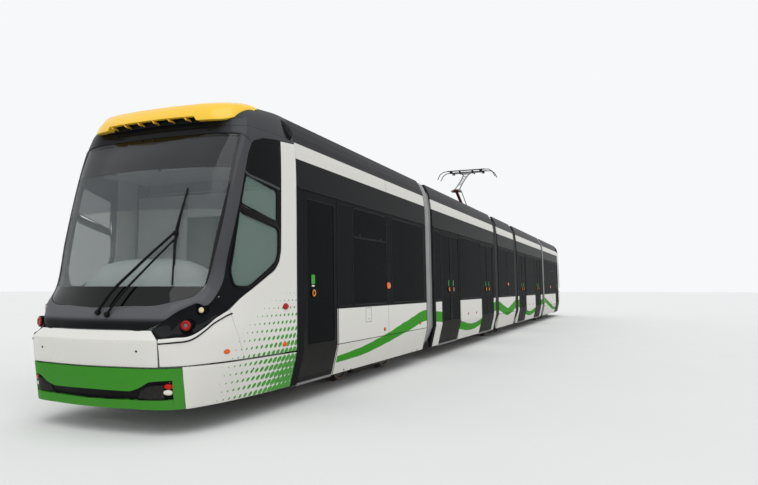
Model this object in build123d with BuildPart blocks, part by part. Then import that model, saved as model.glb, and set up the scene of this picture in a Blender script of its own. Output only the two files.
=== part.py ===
from build123d import *
import math
import os

os.makedirs("parts", exist_ok=True)

# Five-section articulated low-floor tram. Millimetres, X across, Y along, Z up.
# The front cab faces -Y. The origin is midway along the tram, level with the flange tips.

# Rails and wheels
FLANGE = 25
WHEEL_R = 300
AXLE_Z = FLANGE + WHEEL_R
GAUGE_FACE = 680
TREAD_OUT = 815
AXLE_R = 60
JOURNAL_END = 1010
WHEELBASE_HALF = 900
OUTER_BOGIE_Y = 10000

# Body section heights
Z_SKIRT = 265
Z_CREASE = 700
Z_PANEL_TOP = 1175
Z_DOOR_PANE = 740
Z_GLASS_TOP = 2715
Z_STRIPE_LOW = 3080
Z_STRIPE_TOP = 3285
Z_FAIRING = 3600
Z_DECK = 3175
Z_CEILING = 2765
Z_ROOF_GEAR = 3600
Z_FLOOR_LOW = 385
Z_FLOOR_HIGH = 500
FLOOR_UNDER_HIGH = 420
FLOOR_THICK = 110
Z_CAB_FLOOR = 560
CAB_FLOOR_BACK = -13300
TUNNEL_TOP = 720
TUNNEL_IN = 600
TUNNEL_HALF = 1299
TUNNEL_SHEET = 25

# Body section half widths
X_SKIRT = 1225
X_CREASE = 1325
X_PANEL_TOP = 1318
X_GLASS_TOP = 1290
X_STRIPE_LOW = 1275
X_STRIPE_TOP = 1246
X_FAIRING = 1112
X_WALL_IN = 1190
LEAF_THICK = 35
GLASS_THICK = 14

# Stations along the tram
Y_CAB_BACK = -13130
Y_DOOR_FRONT = -12970
Y_DOOR_BACK = -12020
Y_A_END = -8120
Y_B_FRONT = -7640
Y_B_END = -1780
Y_C_HALF = 1300
HINGE_OUTER = (Y_A_END + Y_B_FRONT) / 2
HINGE_INNER = (Y_B_END - Y_C_HALF) / 2
DOUBLE_DOOR = 1440
FRONT_STRIP = 580
REAR_STRIP = 270

# The outer skin, from the skirt's hem up to the roof: height and half width.
SKIN = [
    (Z_SKIRT, X_SKIRT),
    (Z_CREASE, X_CREASE),
    (Z_PANEL_TOP, X_PANEL_TOP),
    (Z_GLASS_TOP, X_GLASS_TOP),
]


def skin_x(z):
    for (z0, x0), (z1, x1) in zip(SKIN, SKIN[1:]):
        if z0 <= z <= z1:
            return x0 + (x1 - x0) * (z - z0) / (z1 - z0)
    return SKIN[-1][1]


def block(xs, ys, zs, mode=Mode.ADD):
    """A box between two values on each axis."""
    centre = ((xs[0] + xs[1]) / 2, (ys[0] + ys[1]) / 2, (zs[0] + zs[1]) / 2)
    with Locations(centre):
        Box(abs(xs[1] - xs[0]), abs(ys[1] - ys[0]), abs(zs[1] - zs[0]), mode=mode)


def pair(xs, ys, zs, mode=Mode.ADD):
    """The same box on both sides of the tram."""
    block(xs, ys, zs, mode)
    block((-xs[0], -xs[1]), ys, zs, mode)


def along(points, y0, y1, mode=Mode.ADD):
    """A cross-section of (x, z) points carried from y0 to y1."""
    with BuildSketch(Plane.XZ.offset(-y1)) as section:
        Polygon(*points, align=None)
    extrude(section.sketch, amount=y1 - y0, mode=mode)


def across(points, x0, x1, mode=Mode.ADD):
    """A side view of (y, z) points carried from x0 to x1."""
    with BuildSketch(Plane.YZ.offset(x0)) as side_view:
        Polygon(*points, align=None)
    extrude(side_view.sketch, amount=x1 - x0, mode=mode)


def skin_band(z0, z1, out_in, thick):
    """Cross-section of the side between two heights, out_in below the skin."""
    levels = [z0] + [z for z, x in SKIN if z0 < z < z1] + [z1]
    outer = [(skin_x(z) - out_in, z) for z in levels]
    inner = [(x - thick, z) for x, z in reversed(outer)]
    return outer + inner


def wall_band(z0, z1):
    """Cross-section of the wall between two heights, flat inside."""
    levels = [z0] + [z for z, x in SKIN if z0 < z < z1] + [z1]
    outer = [(skin_x(z), z) for z in levels]
    return outer + [(X_WALL_IN, z1), (X_WALL_IN, z0)]


def both_sides(points, y0, y1, mode=Mode.ADD):
    along(points, y0, y1, mode)
    along([(-x, z) for x, z in points], y0, y1, mode)


def wheelset(y):
    """Two flanged wheels on one axle, turned about the axle line."""
    half = [
        (JOURNAL_END, 0),
        (JOURNAL_END, AXLE_R),
        (860, AXLE_R),
        (860, 105),
        (TREAD_OUT, 105),
        (TREAD_OUT - 20, 245),
        (TREAD_OUT, 260),
        (TREAD_OUT, WHEEL_R - 4),
        (GAUGE_FACE + 34, WHEEL_R + 1),
        (GAUGE_FACE + 22, WHEEL_R + FLANGE),
        (GAUGE_FACE, WHEEL_R + FLANGE - 8),
        (GAUGE_FACE, 260),
        (GAUGE_FACE + 60, 245),
        (GAUGE_FACE + 20, 105),
        (650, 105),
        (640, AXLE_R),
    ]
    profile = half + [(-x, r) for x, r in reversed(half)]
    with BuildSketch(Plane.XY.offset(AXLE_Z)) as half_section:
        with Locations((0, y)):
            Polygon(*profile, align=None)
    revolve(half_section.sketch, axis=Axis((0, y, AXLE_Z), (1, 0, 0)))


def bogie_frame(yc):
    """Outside-framed bogie: side beams, two transoms, axle boxes, motors and track brakes."""
    beam = [
        (yc - 1020, 275),
        (yc - 780, 275),
        (yc - 620, 215),
        (yc + 620, 215),
        (yc + 780, 275),
        (yc + 1020, 275),
        (yc + 1020, 400),
        (yc + 720, 410),
        (yc + 560, 330),
        (yc - 560, 330),
        (yc - 720, 410),
        (yc - 1020, 400),
    ]
    across(beam, 900, 1010)
    across(beam, -1010, -900)
    for s in (-1, 1):
        block((-950, 950), (yc + s * 330 - 70, yc + s * 330 + 70), (220, 325))
        with Locations((0, yc + s * WHEELBASE_HALF, AXLE_Z)):
            for x in (-955, 955):
                with Locations((x, 0, 0)):
                    Cylinder(AXLE_R + 0.3, 130, rotation=(0, 90, 0), mode=Mode.SUBTRACT)
    # motors stand outside the side beams, brake magnets hang over the rails
    pair((1010, 1150), (yc - 380, yc + 380), (215, 400))
    pair((690, 790), (yc - 400, yc + 400), (70, 130))
    for s in (-1, 1):
        pair((715, 765), (yc + s * 330 - 25, yc + s * 330 + 25), (130, 220))


def lug(y, direction, z0, z1, hole):
    """A flat arm that ends in a round eye on the hinge line at y."""
    with BuildSketch(Plane.XY.offset(z0)) as eye:
        with Locations((0, y)):
            Circle(130)
        with Locations((0, y + direction * 180)):
            Rectangle(260, 360)
        if hole:
            with Locations((0, y)):
                Circle(hole, mode=Mode.SUBTRACT)
    extrude(eye.sketch, amount=z1 - z0)


def pin(y, z0, z1):
    with BuildSketch(Plane.XY.offset(z0)) as round_pin:
        with Locations((0, y)):
            Circle(50)
    extrude(round_pin.sketch, amount=z1 - z0)


def wheel_tunnel(yc):
    """Boxes over the wheels, open below, each a piece of its own let into the floor."""
    y0, y1 = yc - TUNNEL_HALF, yc + TUNNEL_HALF
    pair((TUNNEL_IN - 1, X_WALL_IN + 1), (y0 - 1, y1 + 1), (Z_SKIRT, Z_FLOOR_HIGH + 1), Mode.SUBTRACT)
    pair((TUNNEL_IN, X_WALL_IN), (y0, y1), (FLOOR_UNDER_HIGH, TUNNEL_TOP))
    pair(
        (TUNNEL_IN + TUNNEL_SHEET, X_WALL_IN - TUNNEL_SHEET),
        (y0 + TUNNEL_SHEET, y1 - TUNNEL_SHEET),
        (Z_SKIRT, TUNNEL_TOP - TUNNEL_SHEET),
        Mode.SUBTRACT,
    )


def seat(x, y, z, face):
    """A two-part shell seat on a foot. face is +1 when the passenger looks towards +Y."""
    block((x - 215, x + 215), (y - 215, y + 215), (z + 400, z + 455))
    block((x - 205, x + 205), (y - face * 215, y - face * 165), (z + 455, z + 1010))
    block((x - 60, x + 60), (y - 100, y + 100), (z, z + 400))


def pole(x, y, z):
    with BuildSketch(Plane.XY.offset(z)) as bar:
        with Locations((x, y)):
            Circle(17)
    extrude(bar.sketch, amount=Z_CEILING - z)


def window_side(y0, y1, z0, z1, mode=Mode.SUBTRACT):
    """An opening through both walls, or the panes that fill it."""
    block((X_WALL_IN - 10, X_CREASE + 10), (y0, y1), (z0, z1), mode)
    block((-X_WALL_IN + 10, -X_CREASE - 10), (y0, y1), (z0, z1), mode)


ROOF_HALF = [
    (X_GLASS_TOP, Z_GLASS_TOP),
    (X_STRIPE_LOW, Z_STRIPE_LOW),
    (1264, 3185),
    (X_STRIPE_TOP, Z_STRIPE_TOP),
    (1216, 3400),
    (1170, 3505),
    (X_FAIRING, Z_FAIRING),
    (X_FAIRING - 55, Z_FAIRING - 4),
    (1115, 3480),
    (1160, 3380),
    (1185, Z_DECK + 60),
    (1150, Z_DECK),
    (0, Z_DECK),
]


def roof_section(y0, y1):
    """Ceiling slab with its side covers, as one cross-section."""
    right = ROOF_HALF
    left = [(-x, z) for x, z in reversed(ROOF_HALF[:-1])]
    under = [
        (-X_WALL_IN, Z_GLASS_TOP),
        (-X_WALL_IN + 120, Z_CEILING),
        (X_WALL_IN - 120, Z_CEILING),
        (X_WALL_IN, Z_GLASS_TOP),
    ]
    along(right + left + under, y0, y1)


def roof_box(y0, y1, half, top):
    """An equipment container on the deck with a chamfered lid."""
    points = [
        (-half, Z_DECK),
        (half, Z_DECK),
        (half, top - 60),
        (half - 60, top),
        (-half + 60, top),
        (-half, top - 60),
    ]
    along(points, y0, y1)


# Cab outline at rising heights: height, half width at the back, side corner point,
# front corner point and the nose on the centre line.
# z, w, x1, y1, x2, y2, nose
CAB = [
    (265, 1225, 1090, -14560, 900, -14880, -15020),
    (675, 1320, 1160, -14540, 880, -14960, -15100),
    (955, 1322, 1175, -14540, 860, -15010, -15150),
    (1055, 1320, 1178, -14510, 900, -14910, -15065),
    (1265, 1317, 1185, -14400, 975, -14755, -14985),
    (1510, 1312, 1195, -14300, 1000, -14600, -14925),
    (2000, 1303, 1215, -14200, 1055, -14475, -14775),
    (2500, 1294, 1220, -14095, 1080, -14350, -14600),
    (2900, 1283, 1220, -14010, 1095, -14230, -14410),
    (3180, 1265, 1215, -13950, 1100, -14125, -14235),
    (3290, 1246, 1200, -13920, 1085, -14090, -14200),
    (3400, 1216, 1175, -13880, 1050, -14050, -14160),
    (3505, 1170, 1125, -13780, 990, -13950, -14060),
    (3600, 1112, 1050, -13600, 900, -13790, -13900),
]


def cab_face(row, inset, y_back, z=None):
    """One outline of the cab, inset evenly, as side arcs, corner arcs and a front arc."""
    level, w, x1, y1, x2, y2, nose = row
    z = level if z is None else z
    w, x1, y1 = w - inset, x1 - 0.95 * inset, y1 + 0.31 * inset
    x2, y2, nose = x2 - 0.33 * inset, y2 + 0.94 * inset, nose + inset
    side_mid = ((w + x1) / 2 + 30, (Y_CAB_BACK + y1) / 2)
    corner_mid = ((x1 + x2) / 2 + 34, (y1 + y2) / 2 - 29)
    with BuildSketch(Plane.XY.offset(z)) as face:
        with BuildLine():
            Line((-w, y_back), (w, y_back))
            Line((w, y_back), (w, Y_CAB_BACK))
            ThreePointArc((w, Y_CAB_BACK), side_mid, (x1, y1))
            ThreePointArc((x1, y1), corner_mid, (x2, y2))
            ThreePointArc((x2, y2), (0, nose), (-x2, y2))
            ThreePointArc((-x2, y2), (-corner_mid[0], corner_mid[1]), (-x1, y1))
            ThreePointArc((-x1, y1), (-side_mid[0], side_mid[1]), (-w, Y_CAB_BACK))
            Line((-w, Y_CAB_BACK), (-w, y_back))
        make_face()
    return face.sketch


def cab_form(inset, y_back, rows, drop=0):
    """The cab's solid form through the given outlines, straight between them."""
    faces = []
    for i, row in enumerate(rows):
        last = drop if i == len(rows) - 1 else 0
        faces.append(cab_face(row, inset, y_back, row[0] - last))
    with BuildPart() as form:
        loft(faces, ruled=True)
    return form.part


WALL = 60


def cab_skin(outer_inset, thick):
    outer = cab_form(outer_inset, Y_CAB_BACK + 1, CAB)
    low = [(CAB[0][0] - 40,) + CAB[0][1:]] + CAB[1:]
    inner = cab_form(outer_inset + thick, Y_CAB_BACK + 60, low, thick)
    return outer - inner


# Side view of the cab's dividing line, y and z. White below and behind, black above.
DIAGONAL = [
    (-15400, 960),
    (-14990, 962),
    (-14783, 990),
    (-14643, 1063),
    (-14359, 1232),
    (-14194, 1348),
    (-13971, 1472),
    (-13734, 1603),
    (-13605, 1674),
    (-13515, 1775),
    (-13485, 1914),
    (-13485, 3285),
    (-13000, 3285),
    (-13000, 100),
    (-15400, 100),
]
# Front views of the nose panel, windscreen, collar, lamp recess and bumper slot, x and z.
BUMPER_TOP = 675
APRON_HALF = 850
APRON_JOINT = 12
NOSE_PANEL = [(0, 1048), (735, 1048), (APRON_HALF, 962), (APRON_HALF, BUMPER_TOP), (0, BUMPER_TOP)]
SCREEN = [
    (0, 1263),
    (723, 1296),
    (893, 1346),
    (1031, 1436),
    (1073, 1518),
    (1120, 2025),
    (1143, 2410),
    (1150, 2866),
    (1128, 3190),
    (0, 3205),
]
COLLAR = [
    (0, 1050),
    (695, 1054),
    (790, 1110),
    (924, 1246),
    (994, 1295),
    (1140, 1343),
    (1110, 1500),
    (1031, 1434),
    (893, 1344),
    (723, 1294),
    (0, 1261),
]
COLLAR_PROUD = 24
LAMP_RECESS = [
    (748, 1056),
    (852, 974),
    (1054, 1003),
    (1122, 1078),
    (1176, 1200),
    (1140, 1338),
    (994, 1290),
    (924, 1240),
    (790, 1104),
]
RECESS_DEPTH = 42
SLOT = [
    (0, 448),
    (518, 448),
    (628, 484),
    (738, 547),
    (968, 563),
    (950, 356),
    (0, 356),
]
BUMPER_BACK = -14830
# Side view of the cab's side window, y and z.
CAB_WINDOW = [
    (-14100, 2718),
    (-13583, 2594),
    (-13550, 2155),
    (-13546, 1875),
    (-13589, 1768),
    (-13701, 1695),
    (-14048, 1483),
    (-14264, 1486),
    (-14324, 1647),
    (-14293, 1818),
]
LAMPS = [
    (1012, -14785, 1089, 55),
    (1077, -14655, 1234, 38),
    (905, -14890, 492, 34),
    (885, -14895, 434, 34),
]


def mirrored(points):
    """A right-hand outline that starts and ends on the centre line, completed on the left."""
    return points + [(-x, z) for x, z in reversed(points) if x > 0]


with BuildPart() as cab_shell:
    add(cab_skin(0, WALL))

with BuildPart() as white_zone:
    across(DIAGONAL, -1400, 1400)
    along(mirrored(NOSE_PANEL), -15400, -14600)

with BuildPart() as screen_zone:
    along(mirrored(SCREEN), -15400, -13900)

with BuildPart() as cab_window_zone:
    across(CAB_WINDOW, 1100, 1400)
    across(CAB_WINDOW, -1400, -1100)

with BuildPart() as bumper_zone:
    block((-1400, 1400), (-15400, BUMPER_BACK), (200, BUMPER_TOP))

with BuildPart() as slot_zone:
    along(mirrored(SLOT), -15400, BUMPER_BACK)

with BuildPart() as collar_zone:
    along(mirrored(COLLAR), -15400, -14300)

with BuildPart() as collar:
    add(cab_skin(-COLLAR_PROUD, COLLAR_PROUD + 1))
    add(collar_zone.part, mode=Mode.INTERSECT)

with BuildPart() as recess_zone:
    both_sides(LAMP_RECESS, -15400, -14350)

with BuildPart() as recess:
    add(cab_skin(-5, RECESS_DEPTH + 5))
    add(recess_zone.part, mode=Mode.INTERSECT)

with BuildPart() as cab_mask:
    add(cab_shell.part)
    add(collar.part)
    add(recess.part, mode=Mode.SUBTRACT)
    add(white_zone.part, mode=Mode.SUBTRACT)
    add(screen_zone.part, mode=Mode.SUBTRACT)
    add(cab_window_zone.part, mode=Mode.SUBTRACT)

with BuildPart() as bumper:
    add(cab_shell.part)
    add(bumper_zone.part, mode=Mode.INTERSECT)
    add(slot_zone.part, mode=Mode.SUBTRACT)

with BuildPart() as cab_panels:
    add(cab_shell.part)
    add(white_zone.part, mode=Mode.INTERSECT)
    add(bumper_zone.part, mode=Mode.SUBTRACT)
    # a joint on each side between the nose panel and the corner panels
    pair((APRON_HALF, APRON_HALF + APRON_JOINT), (-15400, -14600), (BUMPER_TOP, 1100), Mode.SUBTRACT)

# Hood over the windscreen: its outline at rising heights, as the cab's, and a row of air slots.
VISOR = [
    (3345, 1300, 1160, -13960, 985, -14190, -14325),
    (3440, 1280, 1145, -13930, 975, -14165, -14305),
    (3550, 1240, 1105, -13850, 900, -14090, -14215),
    (3622, 1150, 1030, -13650, 820, -13890, -14010),
]
VISOR_END = [(-14400, 3300), (-14190, 3340), (-14060, 3400), (-13700, 3560), (-13500, 3600), (-13000, 3600)]
SLOT_HALF = 650
SLOT_PITCH = 217
FIN_HALF = 13
with BuildPart() as visor:
    add(cab_form(0, Y_CAB_BACK + 1, VISOR))
    across(VISOR_END + [(-13000, 3200), (-14400, 3200)], -1400, 1400, Mode.SUBTRACT)
    add(cab_form(0, Y_CAB_BACK + 60, CAB), mode=Mode.SUBTRACT)
    block((-1400, 1400), (-13550, -13000), (3300, 3700), Mode.SUBTRACT)
    block((-930, 930), (-13850, -13000), (3300, 3610), Mode.SUBTRACT)
    for i in range(6):
        x = -SLOT_HALF + SLOT_PITCH * i
        block((x + FIN_HALF, x + SLOT_PITCH - FIN_HALF), (-14400, -14000), (3300, 3392), Mode.SUBTRACT)

with BuildPart() as lamps:
    for x, y, z, r in LAMPS:
        for s in (-1, 1):
            with Locations((s * x, y + 30, z)):
                Cylinder(r, 100, rotation=(90, 0, 0))
    add(cab_form(RECESS_DEPTH, Y_CAB_BACK + 60, CAB), mode=Mode.SUBTRACT)


def rod(a, b, r):
    """A round bar between two points."""
    way = (b[0] - a[0], b[1] - a[1], b[2] - a[2])
    with BuildSketch(Plane(origin=a, z_dir=way)) as end:
        Circle(r)
    extrude(end.sketch, amount=math.hypot(*way))


def chain(points, r):
    """Round bars through several points, with a ball at each bend."""
    for a, b in zip(points, points[1:]):
        rod(a, b, r)
    for point in points[1:-1]:
        with Locations(point):
            Sphere(r)


WIPER_ARM = [(120, -15070, 1225), (430, -14925, 1640), (736, -14695, 2044)]
WIPER_BLADE = [(779, -14800, 1488), (742, -14680, 2010), (745, -14530, 2531)]
WIPER_PIVOT = (120, -15040, 1225)
with BuildPart() as slot_back:
    add(cab_skin(RECESS_DEPTH, WALL - RECESS_DEPTH))
    add(slot_zone.part, mode=Mode.INTERSECT)

with BuildPart() as wiper_pivot:
    with Locations(WIPER_PIVOT):
        Cylinder(32, 110, rotation=(90, 0, 0))
    add(cab_form(-COLLAR_PROUD, Y_CAB_BACK + 60, CAB), mode=Mode.SUBTRACT)

with BuildPart() as cab_fittings:
    # camera pods on the side covers
    pair((1120, 1228), (-13330, -13180), (3345, 3490))
    add(cab_form(0, Y_CAB_BACK + 60, CAB), mode=Mode.SUBTRACT)
    add(wiper_pivot.part)
    chain(WIPER_ARM, 12)
    chain(WIPER_BLADE, 11)
    add(slot_back.part)

with BuildPart() as glazed_zone:
    add(screen_zone.part)
    add(cab_window_zone.part)

with BuildPart() as screen_glass:
    add(cab_skin(6, GLASS_THICK))
    add(glazed_zone.part, mode=Mode.INTERSECT)

# Car A, the front car
with BuildPart() as front_underframe:
    saloon_floor = [
        (Y_CAB_BACK + 1, Z_FLOOR_LOW),
        (-12000, Z_FLOOR_LOW),
        (-11500, Z_FLOOR_HIGH),
        (Y_A_END, Z_FLOOR_HIGH),
        (Y_A_END, FLOOR_UNDER_HIGH),
        (-11300, FLOOR_UNDER_HIGH),
        (-11900, Z_FLOOR_LOW - FLOOR_THICK),
        (Y_CAB_BACK + 1, Z_FLOOR_LOW - FLOOR_THICK),
    ]
    across(saloon_floor, -X_WALL_IN, X_WALL_IN)
    block((-900, 900), (CAB_FLOOR_BACK - 100, Y_CAB_BACK + 1), (Z_FLOOR_LOW - FLOOR_THICK, Z_FLOOR_LOW))
    wheel_tunnel(-OUTER_BOGIE_Y)
    block((-300, 300), (-8500, Y_A_END), (270, FLOOR_UNDER_HIGH))
    lug(HINGE_OUTER, -1, 270, 345, 50.1)

with BuildPart() as front_bogie:
    bogie_frame(-OUTER_BOGIE_Y)

A_WINDOWS = [(-11510, -10170), (-9960, -8260)]
with BuildPart() as front_walls:
    both_sides(wall_band(Z_SKIRT, Z_GLASS_TOP), Y_CAB_BACK + 1, Y_DOOR_FRONT)
    both_sides(wall_band(Z_SKIRT, Z_GLASS_TOP), Y_DOOR_BACK, Y_A_END)
    for y0, y1 in A_WINDOWS:
        window_side(y0, y1, Z_PANEL_TOP + 40, Z_GLASS_TOP - 60)

with BuildPart() as front_doors:
    both_sides(skin_band(Z_SKIRT + 25, Z_GLASS_TOP - 5, 0, LEAF_THICK), Y_DOOR_FRONT + 5, Y_DOOR_BACK - 5)
    window_side(Y_DOOR_FRONT + 95, Y_DOOR_BACK - 95, Z_DOOR_PANE, Z_GLASS_TOP - 110)

with BuildPart() as front_roof:
    roof_section(Y_CAB_BACK + 1, Y_A_END)
    roof_box(-12900, -11900, 900, Z_ROOF_GEAR - 30)
    roof_box(-11500, -9700, 900, Z_ROOF_GEAR)
    roof_box(-9500, -8600, 800, Z_ROOF_GEAR - 60)

with BuildPart() as front_glass:
    for y0, y1 in A_WINDOWS:
        both_sides(skin_band(Z_PANEL_TOP + 40, Z_GLASS_TOP - 60, 0, GLASS_THICK), y0, y1)
    both_sides(
        skin_band(Z_DOOR_PANE, Z_GLASS_TOP - 110, 4, GLASS_THICK), Y_DOOR_FRONT + 95, Y_DOOR_BACK - 95
    )
    add(screen_glass.part)

with BuildPart() as front_interior:
    # raised cab floor on the saloon floor's front edge
    cab_floor = [
        (-14500, Z_CAB_FLOOR),
        (CAB_FLOOR_BACK, Z_CAB_FLOOR),
        (CAB_FLOOR_BACK, Z_FLOOR_LOW),
        (CAB_FLOOR_BACK - 80, Z_FLOOR_LOW),
        (CAB_FLOOR_BACK - 80, Z_CAB_FLOOR - 80),
        (-14500, Z_CAB_FLOOR - 80),
    ]
    across(cab_floor, -900, 900)
    # partition behind the driver, desk and driver's seat
    block((-1180, -330), (-13200, -13160), (Z_FLOOR_LOW, Z_GLASS_TOP - 10))
    block((330, 1180), (-13200, -13160), (Z_FLOOR_LOW, Z_GLASS_TOP - 10))
    desk = [(-14480, Z_CAB_FLOOR), (-14250, Z_CAB_FLOOR), (-14150, 1150), (-14480, 1330)]
    across(desk, -850, 850)
    seat(0, -13650, Z_CAB_FLOOR, -1)
    for y, face in ((-11060, 1), (-10300, -1), (-9700, 1), (-8940, -1)):
        for x in (-920, 920):
            seat(x, y, TUNNEL_TOP, face)
    for y in (-11400, -8500):
        for x in (-480, 480):
            pole(x, y, Z_FLOOR_HIGH)

# Car B, the suspended front link car
B_DOOR_1 = (Y_B_FRONT + FRONT_STRIP, Y_B_FRONT + FRONT_STRIP + DOUBLE_DOOR)
B_DOOR_2 = (Y_B_END - REAR_STRIP - DOUBLE_DOOR, Y_B_END - REAR_STRIP)
B_WINDOW = (B_DOOR_1[1] + 60, B_DOOR_2[0] - 60)
with BuildPart() as link_underframe:
    floor = [
        (Y_B_FRONT, Z_FLOOR_HIGH),
        (-7150, Z_FLOOR_LOW),
        (-2270, Z_FLOOR_LOW),
        (Y_B_END, Z_FLOOR_HIGH),
        (Y_B_END, Z_FLOOR_HIGH - 65),
        (-2270, Z_FLOOR_LOW - FLOOR_THICK),
        (-7150, Z_FLOOR_LOW - FLOOR_THICK),
        (Y_B_FRONT, Z_FLOOR_HIGH - 65),
    ]
    across(floor, -X_WALL_IN, X_WALL_IN)
    lug(HINGE_OUTER, 1, 351, 421, 0)
    pin(HINGE_OUTER, 265, 351)
    block((-130, 130), (-7700 + 100, -7350), (351, 430))
    lug(HINGE_INNER, -1, 351, 421, 0)
    pin(HINGE_INNER, 265, 351)
    block((-130, 130), (-2070, -1820), (351, 430))

with BuildPart() as link_walls:
    for y0, y1 in (
        (Y_B_FRONT, B_DOOR_1[0]),
        (B_DOOR_1[1], B_DOOR_2[0]),
        (B_DOOR_2[1], Y_B_END),
    ):
        both_sides(wall_band(Z_SKIRT, Z_GLASS_TOP), y0, y1)
    window_side(B_WINDOW[0], B_WINDOW[1], Z_PANEL_TOP + 40, Z_GLASS_TOP - 60)
    window_side(Y_B_FRONT + 80, B_DOOR_1[0] - 60, Z_PANEL_TOP + 40, Z_GLASS_TOP - 60)

LEAVES = []
for y0, y1 in (B_DOOR_1, B_DOOR_2):
    middle = (y0 + y1) / 2
    LEAVES += [(y0 + 5, middle - 3), (middle + 3, y1 - 5)]
with BuildPart() as link_doors:
    for y0, y1 in LEAVES:
        both_sides(skin_band(Z_SKIRT + 25, Z_GLASS_TOP - 5, 0, LEAF_THICK), y0, y1)
        window_side(y0 + 75, y1 - 75, Z_DOOR_PANE, Z_GLASS_TOP - 110)

with BuildPart() as link_roof:
    roof_section(Y_B_FRONT, Y_B_END)
    roof_box(-7000, -5400, 900, Z_ROOF_GEAR)
    roof_box(-5100, -3700, 850, Z_ROOF_GEAR - 50)
    roof_box(-3500, -2600, 900, Z_ROOF_GEAR - 20)

with BuildPart() as link_glass:
    for y0, y1 in (
        B_WINDOW,
        (Y_B_FRONT + 80, B_DOOR_1[0] - 60),
    ):
        both_sides(skin_band(Z_PANEL_TOP + 40, Z_GLASS_TOP - 60, 0, GLASS_THICK), y0, y1)
    for y0, y1 in LEAVES:
        both_sides(skin_band(Z_DOOR_PANE, Z_GLASS_TOP - 110, 4, GLASS_THICK), y0 + 75, y1 - 75)

with BuildPart() as link_interior:
    for y, face in ((-5250, 1), (-4400, -1)):
        for x in (-920, 920):
            seat(x, y, Z_FLOOR_LOW, face)
    for y in (-7000, -5500, -3900, -2400):
        for x in (-560, 560):
            pole(x, y, Z_FLOOR_LOW)

# Car C, the centre car under the current collector
with BuildPart() as centre_underframe:
    block((-X_WALL_IN, X_WALL_IN), (-Y_C_HALF, Y_C_HALF), (FLOOR_UNDER_HIGH, Z_FLOOR_HIGH))
    wheel_tunnel(0)
    for s in (-1, 1):
        block((-300, 300), (s * (Y_C_HALF - 120), s * Y_C_HALF), (270, FLOOR_UNDER_HIGH))
        lug(s * -HINGE_INNER, -s, 270, 345, 50.1)

with BuildPart() as centre_bogie:
    bogie_frame(0)

with BuildPart() as centre_walls:
    both_sides(wall_band(Z_SKIRT, Z_GLASS_TOP), -Y_C_HALF, Y_C_HALF)
    window_side(-Y_C_HALF + 90, Y_C_HALF - 90, Z_PANEL_TOP + 40, Z_GLASS_TOP - 60)

# Current collector: pivots at rest, y and z
FOOT = (400, 3620)
KNEE = (-1170, 4460)
HEAD = (170, 5250)
ROD_FOOT = (208, 3560)
ROD_X = 190
LEVER = (KNEE[0] - 65, KNEE[1] - 51.5)
HORN = [(600, 64), (760, 50), (880, -30), (960, -190)]
with BuildPart() as centre_roof:
    roof_section(-Y_C_HALF, Y_C_HALF)
    # insulators and base frame of the collector
    for y in (-450, 650):
        for x in (-450, 450):
            with Locations((x, y, (Z_DECK + 3400) / 2)):
                Cylinder(60, 3400 - Z_DECK)
    for x in (-450, 450):
        block((x - 35, x + 35), (-700, 760), (3400, 3470))
    for y in (-450, 650):
        block((-450, 450), (y - 35, y + 35), (3400, 3470))
    pair((210, 250), (FOOT[0] - 60, 660), (3460, 3680))
    block((205, 225), (ROD_FOOT[0] - 30, ROD_FOOT[0] + 30), (3460, 3590))
    block((-260, 260), (ROD_FOOT[0] - 35, 650), (3405, 3462))
    with Locations((0, FOOT[0], FOOT[1])):
        Cylinder(30.3, 520, rotation=(0, 90, 0), mode=Mode.SUBTRACT)
    with Locations((215, ROD_FOOT[0], ROD_FOOT[1])):
        Cylinder(12.3, 40, rotation=(0, 90, 0), mode=Mode.SUBTRACT)

with BuildPart() as centre_glass:
    both_sides(
        skin_band(Z_PANEL_TOP + 40, Z_GLASS_TOP - 60, 0, GLASS_THICK),
        -Y_C_HALF + 90,
        Y_C_HALF - 90,
    )

with BuildPart() as centre_interior:
    for y, face in ((-650, 1), (650, -1)):
        for x in (-920, 920):
            seat(x, y, TUNNEL_TOP, face)


def tube(a, b, x, r, mode=Mode.ADD):
    """A round bar in the plane x between two (y, z) points."""
    length = math.hypot(b[0] - a[0], b[1] - a[1])
    direction = (0, b[0] - a[0], b[1] - a[1])
    with BuildSketch(Plane(origin=(x, a[0], a[1]), x_dir=(1, 0, 0), z_dir=direction)) as end:
        Circle(r)
    extrude(end.sketch, amount=length, mode=mode)


def cross_tube(point, half, r, mode=Mode.ADD):
    """A round bar across the tram through a (y, z) point."""
    with Locations((0, point[0], point[1])):
        Cylinder(r, 2 * half, rotation=(0, 90, 0), mode=mode)


with BuildPart() as lower_arm:
    cross_tube(FOOT, 255, 30)
    cross_tube(FOOT, 200, 48)
    tube(FOOT, KNEE, 0, 45)
    cross_tube(KNEE, 70, 55)
    cross_tube(KNEE, 71, 20.3, Mode.SUBTRACT)

with BuildPart() as upper_arm:
    cross_tube(KNEE, 165, 20)
    for s in (-1, 1):
        with Locations((s * 110, KNEE[0], KNEE[1])):
            Cylinder(45, 60, rotation=(0, 90, 0))
        tube(KNEE, HEAD, s * 110, 22)
    with BuildSketch(Plane.YZ.offset(150)) as lever_plate:
        with BuildLine():
            Polyline(
                (KNEE[0] + 10, KNEE[1] - 30),
                (KNEE[0] - 30, KNEE[1] + 10),
                (LEVER[0] - 18, LEVER[1] - 4),
                (LEVER[0] - 2, LEVER[1] - 20),
                close=True,
            )
        make_face()
    extrude(lever_plate.sketch, amount=15)
    cross_tube(HEAD, 180, 18)

with BuildPart() as thrust_rod:
    tube(ROD_FOOT, LEVER, ROD_X, 13)
    for point in (ROD_FOOT, LEVER):
        with Locations((ROD_X, point[0], point[1])):
            Cylinder(24, 28, rotation=(0, 90, 0))
    with Locations((ROD_X + 17, ROD_FOOT[0], ROD_FOOT[1])):
        Cylinder(12, 36, rotation=(0, 90, 0))

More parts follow.
